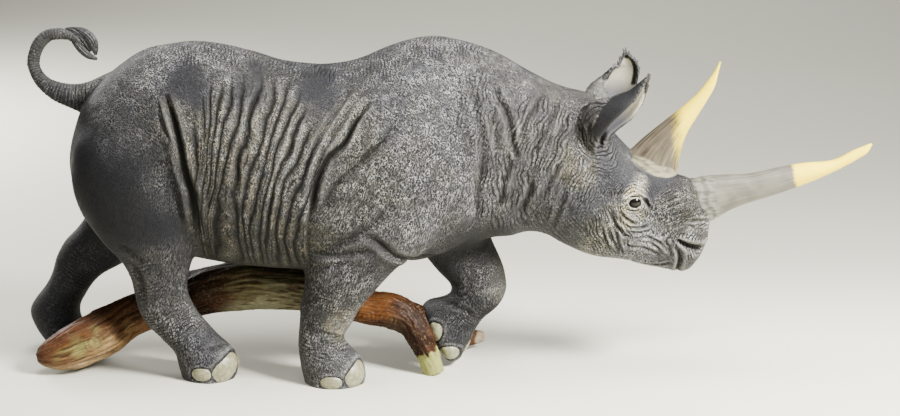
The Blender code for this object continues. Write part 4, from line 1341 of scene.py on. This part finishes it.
def lid_finish():
    """Cream paint, thinner in places."""
    finish, shader = new_finish("eyelid")
    cloud = noise(finish, place_in(finish), 1.6, 2.0)
    colour = blend(finish, ramp(finish, cloud, 0.35, 0.6), LID_GREY, LID_CREAM)
    finish.node_tree.links.new(colour, shader.inputs["Base Color"])
    shader.inputs["Roughness"].default_value = 0.4
    return finish


sides = (1, -1)
eyes = new_piece("eyes", [eye_shell(np.array(EYE_MIDDLE) * (1, side, 1)) for side in sides])
eyes.data.materials.append(eye_finish())
lids = new_piece("eyelids", [lid_shell(side) for side in sides])
lids.data.materials.append(lid_finish())
for piece in (eyes, lids):
    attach(piece, "root")

# The hair
# Stiff dark hair modelled on the rims of the ears, and the flat tuft at the end of the tail, both
# cast with the animal and painted nearly black.
TUFT_LOBES = [
    [(-263, 0.5, 246.5, 1.5), (-257, 0.5, 246, 2.6), (-252, 0.3, 242.5, 2.8), (-248, 0.2, 237.5, 2.4),
     (-245.5, 0, 231.5, 1.2)],
    [(-257, 0, 248.2, 0.8), (-249.6, 0, 245.0, 3.0), (-244.6, 0, 240.0, 3.5), (-242.6, 0, 234.4, 2.8),
     (-241.8, 0, 229.0, 0.9)],
    [(-260.5, 0, 245.0, 0.8), (-255.5, 0, 237.6, 2.4), (-251.0, 0, 232.4, 2.9), (-246.0, 0, 228.2, 2.2),
     (-240.8, 0, 226.2, 0.8)],
]
TUFT_RIDGES = (9, 13, 12)
TUFT_STEPS = 9
TUFT_SIDES = 60
# Where the hair starts on the outer and the inner rim of each ear, as shares of the rim's length
FAR_HAIR_STARTS = (0.45, 0.66)
NEAR_HAIR_STARTS = (0.72, 0.82)
HAIR_LENGTH = 3.4
HAIR_RADIUS = 1.0
HAIR_STEP = 0.9
HAIR_SIDES = 6
# Rings of a hair, as shares of its length and of its radius, from its root in the rim to its tip
HAIR_RINGS = [(-0.35, 0.9), (0.2, 1.0), (0.65, 0.6), (1.0, 0.12)]
HAIR_BLACK = (0.012, 0.012, 0.012, 1)
HAIR_GREY = (0.16, 0.155, 0.17, 1)


def lobe_shell(rows, ridges):
    """A lobe of hair through x, y, z and radius rows, its rings square to the way it runs, with
    even ridges of strands along it."""
    rows = between(rows, TUFT_STEPS)
    middle, radius = rows[:, :3], rows[:, 3]
    ahead = unit(np.gradient(middle, axis=0))
    across = np.tile((0.0, 1.0, 0.0), (len(rows), 1))
    rise = np.cross(ahead, across)
    turn = np.linspace(0, 2 * np.pi, TUFT_SIDES, endpoint=False)[None, :, None]
    strands = 1 + 0.10 * np.cos(ridges * turn)
    spoke = (0.75 * across[:, None] * np.cos(turn) + rise[:, None] * np.sin(turn)) * strands
    return skin_over(middle[:, None] + spoke * radius[:, None, None])


def hair_shells(rows, opening, starts):
    """Hairs along both rims of an ear, each from its start as a share of its length: thin cones
    that lean outward and towards the tip, longer and shorter by turns."""
    edges = ear_rings(rows, opening, np.array((-1.0, 1.0)), 0.5 * EAR_THICKNESS)
    spine = ear_leaf(rows, opening)[0]
    shells = []
    for number, first in enumerate(starts):
        rim = edges[:, number]
        walk = walked_to(rim)
        places = np.arange(first * walk[-1], walk[-1], HAIR_STEP)
        for count, place in enumerate(places):
            root = read_at(place, walk, rim)
            soon = read_at(place + 1, walk, rim)
            heart = read_at(place, walk, spine)
            forward = (soon - root) / max(np.linalg.norm(soon - root), 1e-6)
            away = (root - heart) / max(np.linalg.norm(root - heart), 1e-6)
            lean = away * (0.5 + 0.3 * np.sin(5 * count)) + forward * 0.9
            lean += np.array((0.2 * np.sin(3 * count), 0.25 * np.sin(7 * count), 0.0))
            lean /= np.linalg.norm(lean)
            length = HAIR_LENGTH * (0.75 + 0.35 * np.sin(2.4 * count))
            side = np.cross(lean, (0.3, 1.0, 0.2))
            side /= np.linalg.norm(side)
            other = np.cross(lean, side)
            turn = np.linspace(0, 2 * np.pi, HAIR_SIDES, endpoint=False)[:, None]
            circle = side * np.cos(turn) + other * np.sin(turn)
            rings = [root + lean * share * length + circle * HAIR_RADIUS * wide
                     for share, wide in HAIR_RINGS]
            shells.append(skin_over(np.array(rings)))
    return shells


def hair_finish():
    """Nearly black paint, its strands brushed with grey."""
    finish, shader = new_finish("dark hair")
    strand = noise(finish, place_in(finish, (1.0, 1.0, 0.5)), 0.9, 2.0)
    grey = ramp(finish, strand, 0.52, 0.70, 0.0, 0.6)
    colour = blend(finish, grey, HAIR_BLACK, HAIR_GREY)
    finish.node_tree.links.new(colour, shader.inputs["Base Color"])
    shader.inputs["Roughness"].default_value = 0.5
    finish.node_tree.links.new(raise_up(finish, strand, 0.3), shader.inputs["Normal"])
    return finish


dark_hair = hair_finish()
fringe = new_piece("ear_hair", hair_shells(FAR_EAR, FAR_EAR_OPENS, FAR_HAIR_STARTS)
                   + hair_shells(NEAR_EAR, NEAR_EAR_OPENS, NEAR_HAIR_STARTS))
tuft = new_piece("tail_tuft", [lobe_shell(rows, ridges) for rows, ridges in zip(TUFT_LOBES, TUFT_RIDGES)])
for piece in (fringe, tuft):
    piece.data.materials.append(dark_hair)
    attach(piece, "root")

# The branch
# A fallen branch of glazed porcelain under the animal, grooved along its grain, with knots, a fork
# and pale cut ends. The belly, the hind leg and the raised forefoot rest against it.
TRUNK = [
    (-287, -24, 13, 4),
    (-281, -24, 14, 9),
    (-271, -22, 16, 13.5),
    (-256, -18, 21.5, 16),
    (-242, -11, 27.5, 16.5),
    (-230, -3, 34, 14.5),
    (-212, 5, 40, 14),
    (-192, 9, 46.5, 16),
    (-168, 11, 54, 16.5),
    (-137, 10, 58.5, 17.5),
    (-102, 8, 57, 15.7),
    (-72, 4, 51.5, 13.7),
    (-49, 1, 45.5, 12),
    (-31, -1, 43.5, 12),
    (-20, -3, 37, 10.4),
    (-13.5, -6, 27, 9),
    (-8, -8, 15, 8.2),
    (-3, -9, 0, 7.6),
]
SIDE_SHOOT = [
    (-40, 0, 43, 10),
    (-24, 6, 37, 11.5),
    (-8, 18, 28, 10),
    (6, 32, 18, 8),
    (18, 44, 9.5, 6.4),
    (30, 50, 9, 3.8),
]
BRANCH_GRAIN = 0.8
BRANCH_STEPS = 12
TRUNK_SIDES = 96
SHOOT_SIDES = 64
CROTCH_PASSES = 12
# How far from its middle line the branch is looked for, and where the walk on the side shoot starts
BRANCH_REACH = 90
SHOOT_STARTS = 400
# The bark's colours. Each row: x of the area, its height from -1 under the branch to 1 on top, how
# far it reaches along and up, and its colour
BARK_PAINT = [
    (-284, 0.2, 9, 0.8, (0.20, 0.09, 0.045)),
    (-264, 0.75, 16, 0.35, (0.20, 0.085, 0.040)),
    (-255, 0.2, 13, 0.35, (0.36, 0.34, 0.14)),
    (-264, -0.3, 16, 0.3, (0.26, 0.13, 0.065)),
    (-258, -0.8, 18, 0.4, (0.62, 0.47, 0.29)),
    (-234, 0.6, 12, 0.4, (0.19, 0.095, 0.045)),
    (-236, -0.5, 12, 0.4, (0.46, 0.31, 0.16)),
    (-214, 0.6, 12, 0.5, (0.11, 0.055, 0.028)),
    (-214, -0.6, 12, 0.4, (0.32, 0.18, 0.09)),
    (-180, 0.0, 16, 1.0, (0.060, 0.034, 0.020)),
    (-162, 0.5, 12, 0.5, (0.075, 0.050, 0.028)),
    (-158, -0.3, 10, 0.4, (0.12, 0.055, 0.028)),
    (-140, 0.1, 12, 0.4, (0.20, 0.175, 0.09)),
    (-138, -0.7, 14, 0.35, (0.38, 0.37, 0.25)),
    (-118, 0.8, 16, 0.3, (0.085, 0.075, 0.045)),
    (-110, 0.1, 14, 0.5, (0.27, 0.255, 0.155)),
    (-105, -0.8, 14, 0.4, (0.34, 0.32, 0.21)),
    (-80, 0.0, 12, 1.0, (0.24, 0.18, 0.10)),
    (-60, 0.3, 12, 0.8, (0.28, 0.125, 0.045)),
    (-42, 0.2, 10, 0.8, (0.19, 0.082, 0.028)),
    (-24, -0.4, 9, 0.5, (0.06, 0.030, 0.014)),
    (-36, -0.75, 10, 0.4, (0.040, 0.024, 0.014)),
    (-20, 0.3, 9, 0.8, (0.050, 0.019, 0.007)),
    (-11, 0.0, 6, 1.0, (0.036, 0.014, 0.006)),
    (12, 0.0, 12, 1.0, (0.17, 0.085, 0.045)),
]
# The pale ends: the trunk's is green up to a height, the side shoot's cream from an x onwards
CUT_GREEN = (0.22, 0.225, 0.07)
CUT_CREAM = (0.34, 0.27, 0.19)
CUT_BEHIND = -22
CUT_BESIDE = 20
CUT_HEIGHTS = (17, 14)
CUT_LENGTHS = (24.5, 26.5)
GRAIN_DARK = (0.030, 0.014, 0.008, 1)
GRAIN_LIGHTER = (2.2, 1.9, 1.5, 1)
BARK_DOTS = (0.10, 0.075, 0.035, 1)
BARK_WASH = (0.018, 0.009, 0.005, 1)
# Ahead of this x the bark turns plain below these heights, and this is as far as grooves cut in and
# ridges stand up
PLAIN_BEHIND = -16
PLAIN_HEIGHTS = (15, 11)
GROOVE_DEEPEST = 1.8
GROOVE_HIGHEST = 1.3
# Knots of the bark. Each row: x, y and z, reach and height
BARK_KNOTS = [
    ((-128, -9, 55), 4.6, 1.5),
    ((-214, -8, 50), 6.0, 1.5),
    ((-246, -30, 26), 7.0, 1.2),
    ((-52, -12, 42), 6.5, 1.6),
    ((-36, -14, 42), 5.5, 1.4),
    ((-170, -8, 58), 8.0, 1.2),
]


def tube_shell(rows, steps, sides):
    """A round branch through x, y, z and radius rows, its rings square to the way it runs."""
    rows = between(rows, steps)
    middle, radius = rows[:, :3], rows[:, 3]
    ahead = unit(np.gradient(middle, axis=0))
    across = unit(np.cross(ahead, (0.0, 0.0, 1.0)))
    rise = np.cross(across, ahead)
    turn = np.linspace(0, 2 * np.pi, sides, endpoint=False)[None, :, None]
    spoke = across[:, None] * np.cos(turn) + rise[:, None] * np.sin(turn)
    return skin_over(middle[:, None] + spoke * radius[:, None, None])


def branch_places(points):
    """Where each point lies on the nearer of trunk and side shoot: the distance walked along it,
    and the offset from its middle line sideways and upward as shares of its radius."""
    walked, side, lift = (np.zeros(len(points)) for _ in range(3))
    nearest = np.full(len(points), 1e9)
    for number, rows in enumerate((TRUNK, SIDE_SHOOT)):
        rows = np.array(rows, float)
        near, gap, share = line_gap(points, rows[:, :3], BRANCH_REACH)
        smooth = between(rows, LINE_STEPS)
        count = np.arange(len(smooth))
        at = share * count[-1]
        middle = read_at(at, count, smooth)
        ahead = unit(read_at(at, count, np.gradient(smooth[:, :3], axis=0)))
        across = np.cross(ahead, (0.0, 0.0, 1.0))
        across /= np.linalg.norm(across, axis=1)[:, None] + 1e-9
        rise = np.cross(across, ahead)
        index = np.flatnonzero(near)
        closer = gap - middle[:, 3] < nearest[index]
        chosen = index[closer]
        offset = points[chosen] - middle[closer, :3]
        nearest[chosen] = (gap - middle[:, 3])[closer]
        walk = np.interp(at, count, walked_to(smooth[:, :3]))
        walked[chosen] = walk[closer] + SHOOT_STARTS * number
        side[chosen] = np.einsum("ij,ij->i", offset, across[closer]) / middle[closer, 3]
        lift[chosen] = np.einsum("ij,ij->i", offset, rise[closer]) / middle[closer, 3]
    return walked, side, lift


def carve_bark(piece):
    """Work lengthwise grooves and knots into the branch: grooves are sines of the place round the
    branch that wander as they run along it, round a knot they ring it, and the cut end is plain."""
    points, _, outward = surface(piece.data)
    walked, side, lift = branch_places(points)
    grain = np.stack((walked * 0.055, 7.5 * side, 7.5 * lift), axis=1)
    height = 0.75 * wander(grain, 1.0) + 0.45 * wander(grain * (1.7, 1.9, 1.9), 1.0)
    ridged = -1.2 * np.abs(wander(grain * (0.8, 0.9, 0.9) + 7, 1.0)) ** 0.5
    height += ridged + 0.8
    height += 0.8 * wander(points, 16.0)
    for middle, reach, rise in BARK_KNOTS:
        share = bump_at(points, middle, (reach, reach, reach))
        gap = np.linalg.norm(points - np.array(middle), axis=1)
        height = height * (1 - 0.8 * share) + share * (rise + 0.5 * np.cos(gap * 2.2))
    height *= 1 - smooth_step(points[:, 2], *PLAIN_HEIGHTS) * (points[:, 0] > PLAIN_BEHIND)
    height = np.clip(height, -GROOVE_DEEPEST, GROOVE_HIGHEST)
    reshape(piece.data, points + outward * height[:, None])


def paint_bark(piece):
    """Lay the bark's colours into attributes, melted into each other by bells of their reach, with
    the place along and round the branch for the streaks."""
    points, edges, outward = surface(piece.data)
    walked, side, lift = branch_places(points)
    colour, weight = np.zeros((len(points), 3)), np.full(len(points), 1e-9)
    sway = wander(points, 7.0)
    for x, level, reach, spread, paint_colour in BARK_PAINT:
        share = np.exp(-(((points[:, 0] - x + 5 * sway) / reach) ** 2)
                       - ((lift - level + 0.25 * sway) / spread) ** 2) + 1e-12
        colour += share[:, None] * np.array(paint_colour)
        weight += share
    colour = 0.50 * (colour / weight[:, None]) ** 1.2
    ragged = points[:, 2] + 3 * wander(points, 3.0) - 0.5 * (points[:, 0] + 8)
    on_trunk = (points[:, 0] > CUT_BEHIND) * (points[:, 1] < CUT_BESIDE)
    green = smooth_step(ragged, *CUT_HEIGHTS) * on_trunk
    cream = smooth_step(points[:, 0] + 1.2 * sway, *CUT_LENGTHS)
    for share, paint_colour in ((green, CUT_GREEN), (cream, CUT_CREAM)):
        colour += share[:, None] * (np.array(paint_colour) - colour)
    for name, values in zip(("red", "green", "blue"), colour.T):
        give_attribute(piece, name, values)
    give_attribute(piece, "walked", walked)
    give_attribute(piece, "side", side)
    give_attribute(piece, "lift", lift)
    give_attribute(piece, "cut", np.maximum(green, cream))
    give_attribute(piece, "hollow", hollows(points, edges, outward))


def bark_finish():
    """The laid colours, streaked dark and light along the grain and washed dark in the grooves."""
    finish, shader = new_finish("painted bark")
    inputs = {"Red": read(finish, "red"), "Green": read(finish, "green"), "Blue": read(finish, "blue")}
    colour = add_node(finish, "CombineColor", inputs).outputs[0]
    inputs = {0: calc(finish, "MULTIPLY", read(finish, "walked"), 0.07),
              1: calc(finish, "MULTIPLY", read(finish, "side"), 6.5),
              2: calc(finish, "MULTIPLY", read(finish, "lift"), 6.5)}
    grain_place = add_node(finish, "CombineXYZ", inputs).outputs[0]
    streak = noise(finish, grain_place, 1.0, 4.0)
    fine = noise(finish, grain_place, 0.35, 3.0)
    bare = calc(finish, "SUBTRACT", 1.0, calc(finish, "MULTIPLY", read(finish, "cut"), 0.75))
    dark = calc(finish, "MULTIPLY", ramp(finish, streak, 0.50, 0.36), bare)
    pale = calc(finish, "MULTIPLY", ramp(finish, fine, 0.52, 0.68), bare)
    colour = blend(finish, calc(finish, "MULTIPLY", dark, 0.78), colour, GRAIN_DARK)
    lighter = blend(finish, 1.0, colour, GRAIN_LIGHTER, "MULTIPLY")
    colour = blend(finish, calc(finish, "MULTIPLY", pale, 0.7), colour, lighter)
    dots = ramp(finish, noise(finish, place_in(finish), 1.7, 1.0), 0.60, 0.66, 0.0, 0.55)
    colour = blend(finish, dots, colour, BARK_DOTS)
    hollow = ramp(finish, read(finish, "hollow"), 0.03, 0.22, 0.0, 0.85)
    colour = blend(finish, hollow, colour, BARK_WASH)
    finish.node_tree.links.new(colour, shader.inputs["Base Color"])
    shader.inputs["Roughness"].default_value = 0.48
    shader.inputs["Specular IOR Level"].default_value = 0.10
    relief = calc(finish, "ADD", streak, calc(finish, "MULTIPLY", fine, 0.5))
    finish.node_tree.links.new(raise_up(finish, relief, 0.6), shader.inputs["Normal"])
    return finish


trunk = tube_shell(TRUNK, BRANCH_STEPS, TRUNK_SIDES)
side_shoot = tube_shell(SIDE_SHOOT, BRANCH_STEPS, SHOOT_SIDES)
branch = new_piece("branch", [trunk, side_shoot])
fuse(branch, BRANCH_GRAIN)
soften(branch, CROTCH_PASSES, 0.6, hollows_only=True)
carve_bark(branch)
cut_at_ground(branch)
paint_bark(branch)
branch.data.shade_smooth()
branch.data.materials.append(bark_finish())
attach(branch, "root")
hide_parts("branch")

# The sweep
# A pale sheet of studio paper under and behind the figurine, turning up in a wide curve. It is plain and
# matt, with painted shade darkening it in a band behind the figurine.
SWEEP_HALF_WIDTH = 4000
SWEEP_FRONT = -2600
SWEEP_BACK = 3000
SWEEP_RADIUS = 800
SWEEP_TOP = 3200
PAPER = (0.575, 0.566, 0.480, 1)
PAPER_MOTTLE = (0.590, 0.581, 0.494, 1)
# How much painted shade darkens the paper, and over what reach behind the figurine it comes and goes
PAPER_SHADE = 0.30
PAPER_SHADE_COMES_IN = (60, 330)
PAPER_SHADE_GOES_OUT = (1100, 500)


def sweep_shell():
    """Paper as a profile carried sideways: flat ground, a quarter circle and an upright."""
    turn = np.linspace(0, np.pi / 2, 25)
    profile = [(SWEEP_FRONT, 0.0)]
    profile += list(zip(SWEEP_BACK + SWEEP_RADIUS * np.sin(turn), SWEEP_RADIUS * (1 - np.cos(turn))))
    profile += [(SWEEP_BACK + SWEEP_RADIUS, SWEEP_TOP)]
    profile = np.array(profile)
    count = len(profile)
    points = np.zeros((2, count, 3))
    points[0, :, 0], points[1, :, 0] = -SWEEP_HALF_WIDTH, SWEEP_HALF_WIDTH
    points[:, :, 1:] = profile
    index = np.arange(2 * count).reshape(2, count)
    faces = np.stack((index[0, :-1], index[1, :-1], index[1, 1:], index[0, 1:]), axis=-1)
    return points.reshape(-1, 3), faces.tolist()


def paper_finish():
    """Pale studio paper with the faintest mottle, darkened by painted shade in a band behind the
    figurine.
    """
    finish, shader = new_finish("paper")
    cloud = noise(finish, place_in(finish), 300.0)
    colour = blend(finish, cloud, PAPER, PAPER_MOTTLE)
    # Painted shade: the paper darkens in a band behind the figurine
    back = add_node(finish, "SeparateXYZ", {0: place_in(finish)}).outputs[1]
    shade_band = calc(finish, "MULTIPLY", ramp(finish, back, *PAPER_SHADE_COMES_IN), ramp(finish, back, *PAPER_SHADE_GOES_OUT))
    colour = blend(finish, calc(finish, "MULTIPLY", shade_band, PAPER_SHADE), colour, (0.0, 0.0, 0.0, 1))
    finish.node_tree.links.new(colour, shader.inputs["Base Color"])
    shader.inputs["Roughness"].default_value = 0.9
    return finish


sweep = new_piece("sweep", [sweep_shell()])
sweep.data.materials.append(paper_finish())


# The light
# Soft studio lamps: a key high at the front right, weak ones from above and from the left, one over
# the paper behind and a glow at the back left, in a dim grey room.
def soft_light(name, place, aim, size, spread, watts, colour):
    """A square soft light at a place, aimed at a point, in metres, its spread in degrees."""
    lamp = bpy.data.lights.new(name, "AREA")
    lamp.shape = "SQUARE"
    lamp.size = size
    lamp.spread = np.radians(spread)
    lamp.energy = watts
    lamp.color = colour
    holder = bpy.data.objects.new(name, lamp)
    holder.location = place
    holder.rotation_euler = (Vector(aim) - Vector(place)).to_track_quat("-Z", "Y").to_euler()
    bpy.context.scene.collection.objects.link(holder)


soft_light("key light", (0.95, -0.65, 1.0), (0.45, -0.22, 0.0), 0.40, 98, 45, (1.0, 0.985, 0.95))
soft_light("top light", (0.0, -0.20, 1.3), (-0.08, -0.15, 0.0), 0.7, 80, 7, (1.0, 0.99, 0.96))
soft_light("backdrop light", (0.1, 1.75, 1.1), (0.1, 1.95, 0.0), 1.5, 112, 9.0, (1.0, 0.99, 0.96))
soft_light("left light", (-1.9, -0.9, 0.8), (-0.1, 0.0, 0.1), 1.0, 180, 4, (0.97, 0.98, 1.0))
soft_light("glow", (-0.80, 0.70, 0.45), (-0.68, 0.60, 0.0), 0.4, 140, 15, (1.0, 0.99, 0.96))
world = bpy.data.worlds.new("studio")
world.use_nodes = True
world.node_tree.nodes["Background"].inputs["Color"].default_value = (0.85, 0.88, 0.92, 1)
world.node_tree.nodes["Background"].inputs["Strength"].default_value = 0.16
bpy.context.scene.world = world

# The camera
# It looks at the animal's right side from three degrees ahead of square and fifteen degrees above,
# through a long lens, at the middle of the figurine.
LENS = 90
SENSOR_WIDTH = 36
CAMERA_TARGET = Vector((0.008, 0.0, 0.121))
CAMERA_DISTANCE = 1.6
CAMERA_BEARING = np.radians(3)
CAMERA_RISE = np.radians(15)

camera_data = bpy.data.cameras.new("camera")
camera_data.lens = LENS
camera_data.sensor_width = SENSOR_WIDTH
camera = bpy.data.objects.new("camera", camera_data)
backward = Vector((np.sin(CAMERA_BEARING) * np.cos(CAMERA_RISE),
                   -np.cos(CAMERA_BEARING) * np.cos(CAMERA_RISE), np.sin(CAMERA_RISE)))
camera.location = CAMERA_TARGET + backward * CAMERA_DISTANCE
camera.rotation_euler = backward.to_track_quat("Z", "Y").to_euler()
bpy.context.scene.collection.objects.link(camera)
bpy.context.scene.camera = camera
